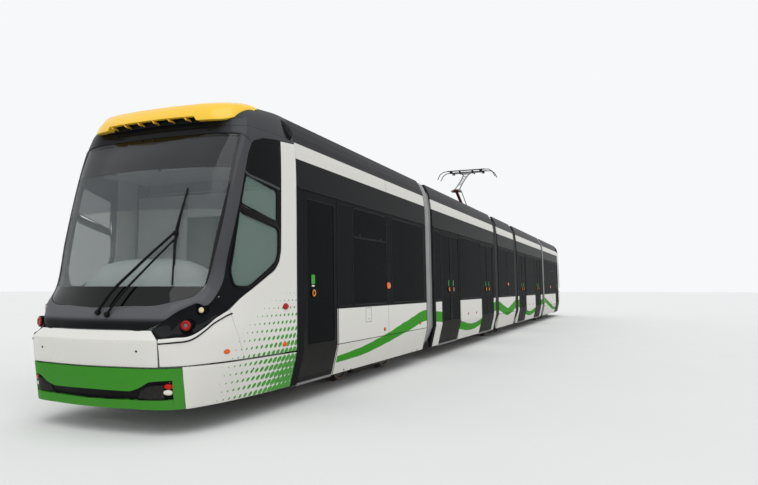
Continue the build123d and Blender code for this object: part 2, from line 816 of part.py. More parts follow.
with BuildPart() as head:
    for s in (-1, 1):
        with Locations((s * 210, HEAD[0], HEAD[1])):
            Cylinder(30, 40, rotation=(0, 90, 0))
    cross_tube(HEAD, 240, 18.3, Mode.SUBTRACT)
    for s in (-1, 1):
        block((s * 195, s * 225), (HEAD[0] - 190, HEAD[0] + 190), (HEAD[1] + 22, HEAD[1] + 52))
    for s in (-1, 1):
        y = HEAD[0] + s * 170
        block((-620, 620), (y - 20, y + 20), (HEAD[1] + 50, HEAD[1] + 80))
        for side in (-1, 1):
            horn = [(side * x, y, HEAD[1] + z) for x, z in HORN]
            chain(horn, 13)

# Gangway bellows between the cars
BELLOWS_IN = 40
BELLOWS_HALF = [
    (1000, 440),
    (1060, 330),
    (1130, 390),
    (skin_x(500) - BELLOWS_IN, 500),
    (skin_x(Z_CREASE) - BELLOWS_IN, Z_CREASE),
    (skin_x(Z_PANEL_TOP) - BELLOWS_IN, Z_PANEL_TOP),
    (skin_x(Z_GLASS_TOP) - BELLOWS_IN, Z_GLASS_TOP),
    (X_STRIPE_LOW - BELLOWS_IN, Z_STRIPE_LOW),
    (X_STRIPE_TOP - BELLOWS_IN, Z_STRIPE_TOP),
    (1170, 3400),
    (1120, 3500),
    (1040, 3560),
]
PASSAGE_HALF = [(1000, 480), (1100, 620), (1100, 2600), (1000, 2700)]
UPPER_HOLLOW_HALF = [(1100, 2760), (1080, 3400), (1000, 3500)]
BELLOWS = []
for name, y0, y1 in (
    ("gangway_1", Y_A_END, Y_B_FRONT),
    ("gangway_2", Y_B_END, -Y_C_HALF),
    ("gangway_3", Y_C_HALF, -Y_B_END),
    ("gangway_4", -Y_B_FRONT, -Y_A_END),
):
    with BuildPart() as bellows:
        along(mirrored(BELLOWS_HALF), y0 + 1, y1 - 1)
        along(mirrored(PASSAGE_HALF), y0 - 5, y1 + 5, Mode.SUBTRACT)
        along(mirrored(UPPER_HOLLOW_HALF), y0 - 5, y1 + 5, Mode.SUBTRACT)
    BELLOWS.append((name, bellows.part))

WHEELS = []
AXLES = (
    -OUTER_BOGIE_Y - WHEELBASE_HALF,
    -OUTER_BOGIE_Y + WHEELBASE_HALF,
    -WHEELBASE_HALF,
    WHEELBASE_HALF,
    OUTER_BOGIE_Y - WHEELBASE_HALF,
    OUTER_BOGIE_Y + WHEELBASE_HALF,
)
for number, y in enumerate(AXLES, 1):
    with BuildPart() as axle:
        wheelset(y)
    WHEELS.append((f"wheelset_{number}", axle.part))

END_CAR = [
    ("underframe", front_underframe.part),
    ("bogie", front_bogie.part),
    ("walls", front_walls.part),
    ("doors", front_doors.part),
    ("roof", front_roof.part),
    ("glass", front_glass.part),
    ("interior", front_interior.part),
    ("cab_mask", cab_mask.part),
    ("cab_panels", cab_panels.part),
    ("bumper", bumper.part),
    ("visor", visor.part),
    ("lamps", lamps.part),
    ("cab_fittings", cab_fittings.part),
]
LINK_CAR = [
    ("underframe", link_underframe.part),
    ("walls", link_walls.part),
    ("doors", link_doors.part),
    ("roof", link_roof.part),
    ("glass", link_glass.part),
    ("interior", link_interior.part),
]
pieces = [
    ("centre_underframe", centre_underframe.part),
    ("centre_bogie", centre_bogie.part),
    ("centre_walls", centre_walls.part),
    ("centre_roof", centre_roof.part),
    ("centre_glass", centre_glass.part),
    ("centre_interior", centre_interior.part),
    ("pantograph_lower_arm", lower_arm.part),
    ("pantograph_upper_arm", upper_arm.part),
    ("pantograph_rod", thrust_rod.part),
    ("pantograph_head", head.part),
]
pieces += WHEELS + BELLOWS
# The rear half is the front half turned about the middle of the tram.
for prefix, car in (("", END_CAR), ("link_", LINK_CAR)):
    for name, shape in car:
        pieces.append((f"front_{prefix}{name}", shape))
        pieces.append((f"rear_{prefix}{name}", shape.rotate(Axis.Z, 180)))

for name, shape in pieces:
    shape.label = name
    export_step(shape, f"parts/{name}.step")
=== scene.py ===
import math

import bmesh
import bpy
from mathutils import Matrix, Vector


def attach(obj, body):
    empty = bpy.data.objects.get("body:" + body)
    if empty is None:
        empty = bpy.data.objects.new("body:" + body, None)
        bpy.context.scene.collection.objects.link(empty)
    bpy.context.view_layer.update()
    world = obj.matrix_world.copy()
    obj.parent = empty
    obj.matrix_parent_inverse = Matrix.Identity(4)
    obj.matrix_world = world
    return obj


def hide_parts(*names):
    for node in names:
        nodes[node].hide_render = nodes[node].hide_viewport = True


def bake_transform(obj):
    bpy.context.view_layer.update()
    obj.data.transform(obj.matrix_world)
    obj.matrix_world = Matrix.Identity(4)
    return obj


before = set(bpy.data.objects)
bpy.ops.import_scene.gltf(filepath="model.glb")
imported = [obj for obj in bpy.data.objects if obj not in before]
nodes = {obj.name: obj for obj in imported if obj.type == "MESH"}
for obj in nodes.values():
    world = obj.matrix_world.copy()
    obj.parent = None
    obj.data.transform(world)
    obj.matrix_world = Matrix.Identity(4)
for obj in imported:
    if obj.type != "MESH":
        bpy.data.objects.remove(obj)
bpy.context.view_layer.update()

# The tram's frame: X across, Y along with the front cab towards -Y, Z up from the flange tips. Metres.
CREASE = 0.700
PANEL_TOP = 1.175
GLASS_TOP = 2.715
STRIPE_LOW = 3.080
STRIPE_TOP = 3.285
CAB_BACK = -13.130
SIDES = ((1, "right"), (-1, "left"))
# the body's side as (height, half width)
SKIN = ((0.265, 1.225), (CREASE, 1.325), (PANEL_TOP, 1.318), (GLASS_TOP, 1.290), (STRIPE_LOW, 1.275))
# joints between two panels of the cab car and of the link car, as distances from the tram's middle
PANEL_JOINT, LINK_JOINT = 10.12, 4.71


# Shader and geometry nodes
def add_node(tree, kind, settings=None, values=None):
    """A node in a tree, its inputs given as values, or as sockets to link."""
    made = tree.nodes.new(kind)
    for key, value in (settings or {}).items():
        setattr(made, key, value)
    for key, value in (values or {}).items():
        if isinstance(value, Shade):
            value = value.socket
        if isinstance(value, bpy.types.NodeSocket):
            tree.links.new(value, made.inputs[key])
        else:
            made.inputs[key].default_value = value
    return made


def operator(operation, swapped=False):
    """A method of Shade that adds this maths node, with its two values swapped if asked."""
    def act(self, other=None):
        return self.maths(operation, other, self) if swapped else self.maths(operation, self, other)

    return act


class Shade:
    """A shader socket that takes part in Python arithmetic."""

    __add__, __radd__ = operator("ADD"), operator("ADD", True)
    __sub__, __rsub__ = operator("SUBTRACT"), operator("SUBTRACT", True)
    __mul__, __truediv__, __pow__ = operator("MULTIPLY"), operator("DIVIDE"), operator("POWER")
    __abs__, least, most = operator("ABSOLUTE"), operator("MINIMUM"), operator("MAXIMUM")

    def __init__(self, recipe, socket):
        self.recipe = recipe
        self.socket = socket

    def maths(self, operation, first, second=None, clamp=False):
        values = {0: first} if second is None else {0: first, 1: second}
        settings = {"operation": operation, "use_clamp": clamp}
        return self.recipe.node("ShaderNodeMath", settings, values)

    def above(self, edge, soft=0.003):
        """1 where this value is over the edge, 0 under it, with a soft line between."""
        return self.maths("ADD", (self - edge) / soft, 0.5, clamp=True)

    def below(self, edge, soft=0.003):
        return self.maths("ADD", (edge - self) / soft, 0.5, clamp=True)

    def between(self, low, high, soft=0.003):
        return self.above(low, soft) * self.below(high, soft)

    def near(self, middle, width, soft=0.002):
        """1 in a line of this width about the middle value."""
        return abs(self - middle).below(width / 2, soft)


class Recipe:
    """A material under construction, with the place on the tram as x, y and z."""

    def __init__(self, name):
        self.material = bpy.data.materials.new(name)
        self.material.use_nodes = True
        self.tree = self.material.node_tree
        self.tree.nodes.clear()
        self.place = self.node("ShaderNodeTexCoord", output="Object")
        self.x, self.y, self.z = (
            self.node("ShaderNodeSeparateXYZ", values={0: self.place}, output=axis) for axis in "XYZ"
        )

    def node(self, kind, settings=None, values=None, output=0):
        made = add_node(self.tree, kind, settings, values)
        return None if output is None else Shade(self, made.outputs[output])

    def mix(self, factor, first, second, seen=True):
        """Colour first where the factor is 0, second where it is 1, each as seen on screen or linear."""
        colours = [(*linear(*c), 1.0) if seen and isinstance(c, tuple) else c for c in (first, second)]
        values = {0: factor, 6: colours[0], 7: colours[1]}
        return self.node("ShaderNodeMix", {"data_type": "RGBA"}, values, output=2)

    def noise(self, scale, detail=3.0, stretch=(1.0, 1.0, 1.0)):
        place = self.node("ShaderNodeVectorMath", {"operation": "MULTIPLY"}, {0: self.place, 1: stretch})
        return self.node("ShaderNodeTexNoise", None, {"Vector": place, "Scale": scale, "Detail": detail})

    def ramp(self, value, stops):
        """Red and green read from a smooth ramp of (position, red, green) stops."""
        made = self.node("ShaderNodeValToRGB", None, {0: value})
        band = made.socket.node.color_ramp
        band.interpolation = "CARDINAL"
        while len(band.elements) < len(stops):
            band.elements.new(0.5)
        for element, (position, red, green) in zip(band.elements, stops):
            element.position = position
            element.color = (red, green, 0.0, 1.0)
        return [self.node("ShaderNodeSeparateColor", None, {0: made}, output=k) for k in (0, 1)]

    def bump(self, height, strength):
        return self.node("ShaderNodeBump", None, {"Height": height, "Distance": 1.0, "Strength": strength})

    def peel(self):
        """The fine waves of sprayed paint, as a height."""
        return self.noise(110.0, 2.0) * 0.0001

    def surface(self, **sockets):
        """Principled surface. A name's underscores are spaces in the socket's name."""
        values = {}
        for key, value in sockets.items():
            if isinstance(value, tuple):
                value = (*value, 1.0)
            values[key.replace("_", " ")] = value
        shader = self.node("ShaderNodeBsdfPrincipled", None, values)
        self.node("ShaderNodeOutputMaterial", None, {0: shader}, output=None)
        return self.material


def coated(recipe, colour, rough, coat, coat_rough, specular=0.0, **more):
    """A painted or glazed surface under a thin clear coat."""
    return recipe.surface(
        Base_Color=colour, Roughness=rough, Specular_IOR_Level=specular, Coat_Weight=coat,
        Coat_Roughness=coat_rough, **more,
    )


def linear(red, green, blue):
    """A colour as seen on screen, 0 to 255, in the renderer's linear values."""
    return tuple(
        (c / 255 / 12.92) if c <= 10 else ((c / 255 + 0.055) / 1.055) ** 2.4 for c in (red, green, blue)
    )


# livery colours as seen on screen, 0 to 255
WHITE = (222, 220, 214)
GREEN = (56, 146, 34)
YELLOW = (252, 206, 62)
BLACK = (20, 21, 23)
DUST = (168, 164, 154)


def road_film(mix, z, fine):
    """Grey dust that thickens towards the skirt."""
    return ((1.1 - z) / 0.9).most(0.0).least(1.0) * (0.25 + fine * 0.75) * mix


def part_way(a, b, u):
    """The point that lies the share u of the way from a to b."""
    return tuple(p + (q - p) * u for p, q in zip(a, b))


def cubic(a, b, slope_a, slope_b, u):
    """The smooth step from a to b with these slopes at its ends."""
    return (
        (2 * u**3 - 3 * u**2 + 1) * a + (u**3 - 2 * u**2 + u) * slope_a
        + (3 * u**2 - 2 * u**3) * b + (u**3 - u**2) * slope_b
    )


def walk(spans, way):
    """The span in which a distance along them ends, and how far it goes into that span."""
    i = 0
    while i < len(spans) - 1 and way > spans[i]:
        way -= spans[i]
        i += 1
    return i, way


def spline(points, t):
    """A smooth curve through points, t from 0 to 1 along them."""
    spans = [math.dist(a, b) or 1e-9 for a, b in zip(points, points[1:])]
    i, way = walk(spans, t * sum(spans))
    h = spans[i]

    def slope(k, axis):
        def rise(j):
            return (points[j + 1][axis] - points[j][axis]) / spans[j]

        if k in (0, len(spans)):
            return rise(min(k, len(spans) - 1))
        return (rise(k - 1) * spans[k] + rise(k) * spans[k - 1]) / (spans[k] + spans[k - 1])

    return tuple(
        cubic(points[i][axis], points[i + 1][axis], slope(i, axis) * h, slope(i + 1, axis) * h,
              min(max(way / h, 0.0), 1.0))
        for axis in range(len(points[0]))
    )


def stations(points, count, smooth=True):
    """Points spread evenly along a line of points."""
    if smooth:
        return [spline(points, k / (count - 1)) for k in range(count)]
    spans = [math.dist(a, b) for a, b in zip(points, points[1:])]
    out = []
    for k in range(count):
        i, way = walk(spans, sum(spans) * k / (count - 1))
        out.append(part_way(points[i], points[i + 1], min(way / spans[i], 1.0) if spans[i] else 0.0))
    return out


def read(table, value):
    """The second number of a table's rows at a value of the first, straight between rows."""
    for (a, low), (b, high) in zip(table, table[1:]):
        if value <= b:
            return low + (high - low) * (value - a) / (b - a)
    return table[-1][1]


def turns(sides, closed=0):
    """Angles spread evenly round a circle, with the first one again at the end if it is closed."""
    return [2 * math.pi * k / sides for k in range(sides + closed)]


def circle(centre, axis, radius, sides, guide=(0.1, 0.2, 1.0), closed=0):
    """Points round an axis. The first lies square to both the axis and the guide."""
    level = axis.cross(Vector(guide)).normalized()
    over = level.cross(axis)
    return [centre + (level * math.cos(a) + over * math.sin(a)) * radius for a in turns(sides, closed)]


def headings(line):
    """A path's direction at each of its points."""
    last = len(line) - 1
    return [(line[min(k + 1, last)] - line[max(k - 1, 0)]).normalized() for k in range(last + 1)]


# The wave stripe: distance from the tram's middle, height of the stripe's centre, half its width.
WAVE = (
    (0.00, 0.711, 0.112), (0.70, 0.810, 0.130), (1.27, 0.920, 0.133), (2.00, 0.916, 0.128),
    (3.00, 0.690, 0.095), (3.57, 0.578, 0.080), (4.10, 0.515, 0.080), (4.60, 0.505, 0.082),
    (5.10, 0.544, 0.090), (5.60, 0.608, 0.095), (6.30, 0.725, 0.103), (7.04, 0.843, 0.108),
    (7.50, 0.881, 0.107), (8.22, 0.927, 0.106), (9.10, 0.800, 0.098), (9.60, 0.727, 0.092),
    (10.0, 0.659, 0.086), (10.5, 0.590, 0.080), (11.0, 0.525, 0.070), (11.5, 0.492, 0.057),
    (11.9, 0.474, 0.048),
)


def wave_mask(recipe):
    run = abs(recipe.y)
    middle, half = recipe.ramp(run / 12.0, [(d / 12.0, c, h) for d, c, h in stations(WAVE, 31)])
    return abs(recipe.z - middle).below(half, 0.004) * run.below(11.96)


def body_paint():
    """Side walls: white panels with the wave stripe, black round the windows, seams and dust."""
    r = Recipe("body_paint")
    run = abs(r.y)
    fine = r.noise(3.0, 5.0)
    white = r.mix(road_film(0.35, r.z, fine), WHITE, DUST)
    white = r.mix(wave_mask(r), white, GREEN)
    seam = r.z.near(CREASE - 0.014, 0.010) * (run.above(8.0) + run.below(1.4)).least(1.0)
    seam = seam.most(run.near(PANEL_JOINT, 0.007) * r.z.between(CREASE, PANEL_TOP))
    white = r.mix(seam, white, BLACK)
    # stretches of white panel along each half; between them the wall is black down to the skirt
    panels = run.between(8.12, 12.1) + run.between(3.4, 5.7) + run.between(6.9, 7.52) + run.below(2.4)
    top = 1.0 - r.z.below(PANEL_TOP, 0.004) * panels.least(1.0)
    colour = r.mix(top, white, r.mix(r.noise(1.3, 2.0), (17, 18, 19), (25, 26, 28)))
    rough = 0.24 + fine * 0.14 - top * 0.14
    return coated(r, colour, rough, 0.11, 0.03, Normal=r.bump(r.peel() - seam * 0.004, 0.4))


def roof_paint():
    """Roof covers: dark gloss with the white stripe above the windows."""
    r = Recipe("roof_paint")
    fine = r.noise(14.0, 5.0)
    broad = r.noise(0.9, 2.0)
    run = abs(r.y)
    width = abs(r.x)
    side = width.above(1.19, 0.01)
    stripe = r.z.between(STRIPE_LOW, STRIPE_TOP, 0.004) * side
    seam = (run.near(PANEL_JOINT, 0.008) + run.near(LINK_JOINT, 0.008)).least(1.0) * r.z.above(2.72)
    dark = r.mix(broad, (38, 38, 40), (50, 50, 52))
    dark = r.mix(r.z.below(STRIPE_LOW), dark, (19, 20, 21))
    deck = width.below(1.04, 0.02)
    dark = r.mix(deck * 0.8, dark, r.mix(fine, (112, 112, 108), (140, 139, 132)))
    colour = r.mix(stripe, dark, r.mix(fine * 0.2, WHITE, DUST))
    colour = r.mix(seam * 0.8, colour, BLACK)
    rough = 0.16 + fine * 0.12 + deck * 0.4
    height = r.noise(100.0) * 0.0001 - seam * 0.003
    return coated(r, colour, rough, 0.22, 0.05, Normal=r.bump(height, 0.4))


def gloss_black():
    """Black gloss plastic and printed glass round the cab."""
    r = Recipe("gloss_black")
    fine = r.noise(22.0, 4.0)
    colour = r.mix(r.noise(1.5, 2.0), (15, 16, 18), (20, 21, 23))
    colour = r.mix(road_film(0.25, r.z, fine), colour, (110, 106, 100))
    return coated(r, colour, 0.12 + fine * 0.10, 0.15, 0.03)


def mask_grey():
    """The moulded frame round the windscreen, a shade lighter than the glass."""
    r = Recipe("mask_grey")
    fine = r.noise(30.0, 4.0)
    # painted sky reflection, paler where it faces up: along the pillars and the collar; painted shade, near
    # black, in the band below that where the collar rolls under
    side = (abs(r.x).above(1.0, 0.25) * r.z.above(1.45, 0.3)).most(r.z.between(1.15, 1.62, 0.05))
    low = r.z.between(0.9, 1.135, 0.05) * abs(r.y).above(14.2)
    colour = r.mix(r.noise(2.0, 2.0), (36, 37, 40), (46, 47, 50))
    colour = r.mix(r.z.above(3.10, 0.06), colour, (24, 25, 27))
    # the painted sky reflection, brighter on the collar than on the pillars
    colour = r.mix(side * 0.85, colour, r.mix(r.z.above(1.5, 0.5), (94, 95, 98), (74, 75, 78)))
    # the painted shade under the collar
    colour = r.mix(low, colour, (11, 12, 13))
    return coated(r, colour, 0.18 + fine * 0.1, 0.22, 0.05, Normal=r.bump(r.noise(40.0) * 0.0002, 0.2))


def cab_white():
    """Cab panels: white, with rows of green dots that grow towards the door's foot, and dust."""
    r = Recipe("cab_white")
    fine = r.noise(3.0, 5.0)
    run = abs(r.y)
    # dots on a slanted grid of 85 mm, as large as the way to the door's foot lets them be
    pitch = 0.085
    across, up = (run + r.z * 0.5) / pitch, r.z / pitch
    cell_x = across.maths("FRACT", across) - 0.5
    cell_z = up.maths("FRACT", up) - 0.5
    far_y = (run - 13.05) * 0.85
    far_z = (r.z - 0.30) * 1.05
    spread = (far_y * far_y + far_z * far_z) ** 0.5
    size = ((1.30 - spread) * 0.55).most(0.0).least(0.75)
    dot = (cell_x * cell_x + cell_z * cell_z) ** 0.5
    dots = dot.below(size, 0.05) * size.above(0.06, 0.02) * run.below(14.6)
    colour = r.mix(road_film(0.30, r.z, fine), WHITE, DUST)
    colour = r.mix(dots, colour, GREEN)
    return coated(r, colour, 0.22 + fine * 0.14, 0.2, 0.05, 0.2, Normal=r.bump(r.peel(), 0.4))


def plain_paint(name, base, shade, rough=0.2, dust=0.3, coat=0.3, specular=0.2):
    """Sprayed paint in one colour with orange peel, slight fading and dust."""
    r = Recipe(name)
    fine = r.noise(4.0, 5.0)
    colour = r.mix(r.noise(2.2, 3.0), base, shade)
    colour = r.mix(road_film(dust, r.z, fine), colour, (120, 114, 102))
    return coated(r, colour, rough + fine * 0.12, coat, 0.05, specular, Normal=r.bump(r.peel(), 0.4))


def bare_metal(name, base, shade, rough=0.35, metallic=0.9, scale=40.0):
    r = Recipe(name)
    grain = r.noise(scale, 6.0)
    colour = r.mix(grain, base, shade)
    return r.surface(
        Base_Color=colour, Roughness=rough + grain * 0.2, Metallic=metallic,
        Normal=r.bump(grain * 0.0008, 0.5),
    )


def soft_plastic(name, base, shade, rough=0.5, scale=90.0, specular=0.15):
    r = Recipe(name)
    grain = r.noise(scale, 4.0)
    colour = r.mix(r.noise(3.0, 3.0), base, shade)
    return r.surface(
        Base_Color=colour, Roughness=rough + grain * 0.15, Normal=r.bump(grain * 0.00015, 0.25),
        Specular_IOR_Level=specular,
    )


def side_glass():
    """Dark side glass with faint streaks."""
    r = Recipe("side_glass")
    streak = r.noise(3.0, 4.0, (1.0, 6.0, 0.7))
    colour = r.mix(streak, (10, 12, 13), (17, 20, 21))
    return coated(r, colour, 0.03 + streak * 0.04, 0.10, 0.02, Alpha=0.88)


def windscreen_glass():
    """Clear laminated glass with a black printed border and dust on its lower part."""
    r = Recipe("windscreen_glass")
    side = abs(r.x)
    edge = 1.048 + (r.z - 1.5).least(1.0).most(0.0) * 0.07
    print_band = r.z.below(1.482, 0.006).most(r.z.above(3.150, 0.01)).most(side.above(edge, 0.006))
    sign = r.z.between(2.78, 3.15, 0.01)
    shade = r.z.above(2.30, 0.02)
    dust = r.noise(5.0, 5.0) * r.z.below(2.2, 0.8)
    # a pale veil over the clear glass, a painted sky reflection, paler where there is dust
    clear = r.mix(dust * 0.4, (128, 138, 137), (158, 162, 160))
    clear = r.mix(shade, clear, (92, 96, 99))
    colour = r.mix(sign * 0.85, clear, (34, 35, 37))
    colour = r.mix(print_band, colour, (10, 11, 12))
    alpha = 0.17 + dust * 0.16 + shade * 0.26
    alpha = alpha.most(print_band).most(sign * 0.9).least(1.0)
    return coated(r, colour, 0.02 + dust * 0.05, 0.55, 0.01, Alpha=alpha)


def cab_side_glass():
    r = Recipe("cab_side_glass")
    streak = r.noise(3.0, 4.0, (1.0, 4.0, 0.8))
    colour = r.mix(streak, (104, 126, 118), (124, 144, 136))
    return coated(r, colour, 0.03 + streak * 0.03, 0.35, 0.02, Alpha=0.50)


def lens(name, base, glow):
    """A ribbed lamp lens that glows with a share of its colour; on the red reflector, which is no lamp, the
    glow is painted light.
    """
    r = Recipe(name)
    base = linear(*base)
    rib = r.node("ShaderNodeTexWave", None, {"Vector": r.place, "Scale": 60.0, "Distortion": 0.2})
    colour = r.mix(rib, (*base, 1.0), tuple(c * 0.6 for c in base) + (1.0,), seen=False)
    return r.surface(
        Base_Color=colour, Roughness=0.08, Specular_IOR_Level=0.2, Normal=r.bump(rib * 0.002, 0.6),
        Emission_Color=tuple(c * glow for c in base), Emission_Strength=1.0,
    )


PAINTS = {
    "body": body_paint(),
    "roof": roof_paint(),
    "black": gloss_black(),
    "mask": mask_grey(),
    "cab_white": cab_white(),
    "fascia": plain_paint("printed_glass", (13, 14, 15), (19, 20, 21), 0.08, 0.0, 0.11, 0.0),
    "green": plain_paint("green_paint", GREEN, (50, 134, 32), 0.2, 0.2, 0.16, 0.0),
    "yellow": plain_paint("yellow_paint", YELLOW, (246, 198, 60), dust=0.0),
    "side_glass": side_glass(),
    "screen": windscreen_glass(),
    "cab_glass": cab_side_glass(),
    "door": plain_paint("door_leaf", (17, 18, 19), (25, 26, 27), 0.25, 0.35, 0.11, 0.0),
    "door_grey": plain_paint("door_foot", (25, 26, 27), (33, 33, 33), 0.3, 0.15, 0.11, 0.0),
    "rubber": soft_plastic("rubber_seal", (14, 14, 15), (22, 22, 22), 0.6),
    "bellows": soft_plastic("bellows_fabric", (140, 141, 140), (160, 160, 158), 0.45),
    "bellows_dark": soft_plastic("bellows_dark", (24, 24, 26), (36, 36, 38), 0.6),
    "sill": bare_metal("sill_metal", (150, 150, 150), (110, 110, 110)),
    "chassis": plain_paint("chassis_paint", (36, 36, 37), (50, 48, 45), 0.5, 0.8, 0.0, 0.1),
    "cast": bare_metal("cast_frame", (44, 41, 38), (72, 65, 57), 0.6, 0.3, 26.0),
    "wheel": bare_metal("wheel_steel", (110, 102, 94), (78, 66, 56), 0.4, 0.8, 30.0),
    "seat": soft_plastic("seat_shell", (64, 104, 78), (52, 86, 66)),
    "floor_cover": soft_plastic("floor_cover", (78, 80, 82), (96, 98, 98), 0.6, 200.0),
    "lining": soft_plastic("pale_lining", (206, 210, 206), (190, 196, 192), 0.5),
    "pole": bare_metal("grab_pole", (190, 190, 186), (160, 160, 156), 0.25, 1.0),
    "primer": plain_paint("red_primer", (84, 34, 30), (60, 28, 26), 0.45, 0.0, 0.0),
    "aluminium": bare_metal("bare_aluminium", (150, 150, 148), (112, 112, 112)),
    "copper": bare_metal("contact_strip", (60, 55, 52), (38, 36, 36), 0.5, 0.4),
    "ceramic": plain_paint("insulator_glaze", (96, 48, 34), (78, 40, 30), 0.15, 0.0),
    "trim": soft_plastic("trim_plastic", (14, 14, 15), (22, 22, 23), 0.4, 90.0, 0.08),
    "desk": soft_plastic("desk_plastic", (206, 216, 212), (190, 200, 196), 0.5),
    "crate": plain_paint("roof_crate", (150, 151, 148), (132, 132, 128), 0.4, 0.0, 0.1),
    "red_lens": lens("red_lens", (190, 24, 20), 0.25),
    "white_lens": lens("white_lens", (225, 222, 210), 0.2),
    # the reflector's glow is painted light: it is no lamp
    "red_reflector": lens("red_reflector", (172, 22, 24), 0.10),
    "lamp_glass": lens("lamp_glass", (128, 120, 116), 0.04),
    "cream_lens": lens("cream_lens", (232, 208, 168), 0.2),
    "orange_lens": lens("orange_lens", (234, 98, 14), 0.12),
    "orange_ring": soft_plastic("orange_ring", (240, 150, 40), (226, 130, 30), 0.4),
    "green_pad": soft_plastic("green_pad", (70, 168, 54), (60, 150, 48), 0.4),
}


# Mesh helpers
def new_piece(name, mesh, *paints):
    piece = bpy.data.objects.new(name, mesh)
    bpy.context.scene.collection.objects.link(piece)
    for paint in paints:
        mesh.materials.append(PAINTS[paint])
    return piece


def clean_mesh(name, points, faces, weld=0.0):
    """A mesh with its faces turned the same way, and its near points welded if asked."""
    mesh = bpy.data.meshes.new(name)
    mesh.from_pydata(points, [], faces)
    form = bmesh.new()
    form.from_mesh(mesh)
    if weld:
        bmesh.ops.remove_doubles(form, verts=form.verts, dist=weld)
    bmesh.ops.recalc_face_normals(form, faces=form.faces)
    form.to_mesh(mesh)
    form.free()
    return mesh


def smoothed(piece, angle):
    """Shades a piece smooth, but for its edges sharper than the angle in degrees."""
    piece.data.shade_smooth()
    piece.data.set_sharp_from_angle(angle=math.radians(angle))
    return piece


def grid_faces(rows, columns, start=0):
    return [
        (start + r * columns + c, start + r * columns + c + 1,
         start + (r + 1) * columns + c + 1, start + (r + 1) * columns + c)
        for r in range(rows - 1)
        for c in range(columns - 1)
    ]


def grid_mesh(name, grids):
    """One mesh from grids of points, each a list of equally long rows, joined where they meet."""
    points, faces = [], []
    for rows in grids:
        faces += grid_faces(len(rows), len(rows[0]), len(points))
        points += [p for row in rows for p in row]
    return clean_mesh(name, points, faces, 0.0006)


def rounded_piece(name, rows, paint):
    """A piece from one grid of points, shaded smooth all over."""
    piece = new_piece(name, grid_mesh(name, [rows]), paint)
    piece.data.shade_smooth()
    return piece


def turned_piece(name, centre, axis, profile, paint, sides):
    """A turned piece: profile is rows of (distance along the axis, radius)."""
    rows = [circle(centre + axis * along, axis, radius, sides, (0, 0, 1), 1) for along, radius in profile]
    return rounded_piece(name, rows, paint)


def apply_modifiers(piece):
    graph = bpy.context.evaluated_depsgraph_get()
    mesh = bpy.data.meshes.new_from_object(piece.evaluated_get(graph))
    piece.modifiers.clear()
    piece.data = mesh


def face_out(mesh, middle):
    """Turns an open sheet's faces away from a point inside the tram."""
    lead = max(mesh.polygons, key=lambda f: f.area)
    if lead.normal.dot(lead.center - Vector(middle)) < 0:
        mesh.flip_normals()


def sheet_piece(name, grids, paint, thick, middle, bevel=0.0, smooth=35):
    """A thin panel: the grids are its outer face, the wall goes inwards."""
    mesh = grid_mesh(name, grids)
    face_out(mesh, middle)
    piece = new_piece(name, mesh, paint)
    wall = piece.modifiers.new("wall", "SOLIDIFY")
    wall.thickness = thick
    wall.offset = -1.0
    if bevel:
        edge = piece.modifiers.new("edge", "BEVEL")
        edge.width = bevel
        edge.segments = 2
        edge.limit_method = "ANGLE"
        edge.angle_limit = math.radians(50)
    apply_modifiers(piece)
    return smoothed(piece, smooth)


def turned(piece, name):
    """The same piece at the other end of the tram."""
    mesh = piece.data.copy()
    for vertex in mesh.vertices:
        vertex.co.x, vertex.co.y = -vertex.co.x, -vertex.co.y
    return new_piece(name, mesh)


def joined(name, pieces):
    """Several pieces with their materials made into one."""
    with bpy.context.temp_override(active_object=pieces[0], selected_editable_objects=pieces):
        bpy.ops.object.join()
    pieces[0].name = name
    return pieces[0]


def tube(name, path, radius, paint, sides=12, smooth=True, count=24):
    """A round bar along a path of points, closed at both ends."""
    line = [Vector(p) for p in (stations(path, count) if smooth and len(path) > 2 else path)]
    rings = [[line[0]] * (sides + 1)]
    for k, (point, ahead) in enumerate(zip(line, headings(line))):
        guide = (1, 0, 0) if math.hypot(ahead.x, ahead.y) < 0.1 else (0, 0, 1)
        size = radius(k / (len(line) - 1)) if callable(radius) else radius
        rings.append(circle(point, ahead, size, sides, guide, 1))
    rings.append([line[-1]] * (sides + 1))
    mesh = grid_mesh(name, [rings])
    mesh.validate()
    return smoothed(new_piece(name, mesh, paint), 50)


# The cab's surface
# height, half width at the back, side corner point, front corner point, nose on the centre line
CAB = (
    (0.265, 1.225, 1.090, -14.560, 0.900, -14.880, -15.020),
    (0.675, 1.320, 1.160, -14.540, 0.880, -14.960, -15.100),
    (0.955, 1.322, 1.175, -14.540, 0.860, -15.010, -15.150),
    (1.055, 1.320, 1.178, -14.510, 0.900, -14.910, -15.065),
    (1.265, 1.317, 1.185, -14.400, 0.975, -14.755, -14.985),
    (1.510, 1.312, 1.195, -14.300, 1.000, -14.600, -14.925),
    (2.000, 1.303, 1.215, -14.200, 1.055, -14.475, -14.775),
    (2.500, 1.294, 1.220, -14.095, 1.080, -14.350, -14.600),
    (2.900, 1.283, 1.220, -14.010, 1.095, -14.230, -14.410),
    (3.180, 1.265, 1.215, -13.950, 1.100, -14.125, -14.235),
    (3.290, 1.246, 1.200, -13.920, 1.085, -14.090, -14.200),
    (3.400, 1.216, 1.175, -13.880, 1.050, -14.050, -14.160),
    (3.505, 1.170, 1.125, -13.780, 0.990, -13.950, -14.060),
    (3.600, 1.112, 1.050, -13.600, 0.900, -13.790, -13.900),
)
SMOOTH_FROM = 4


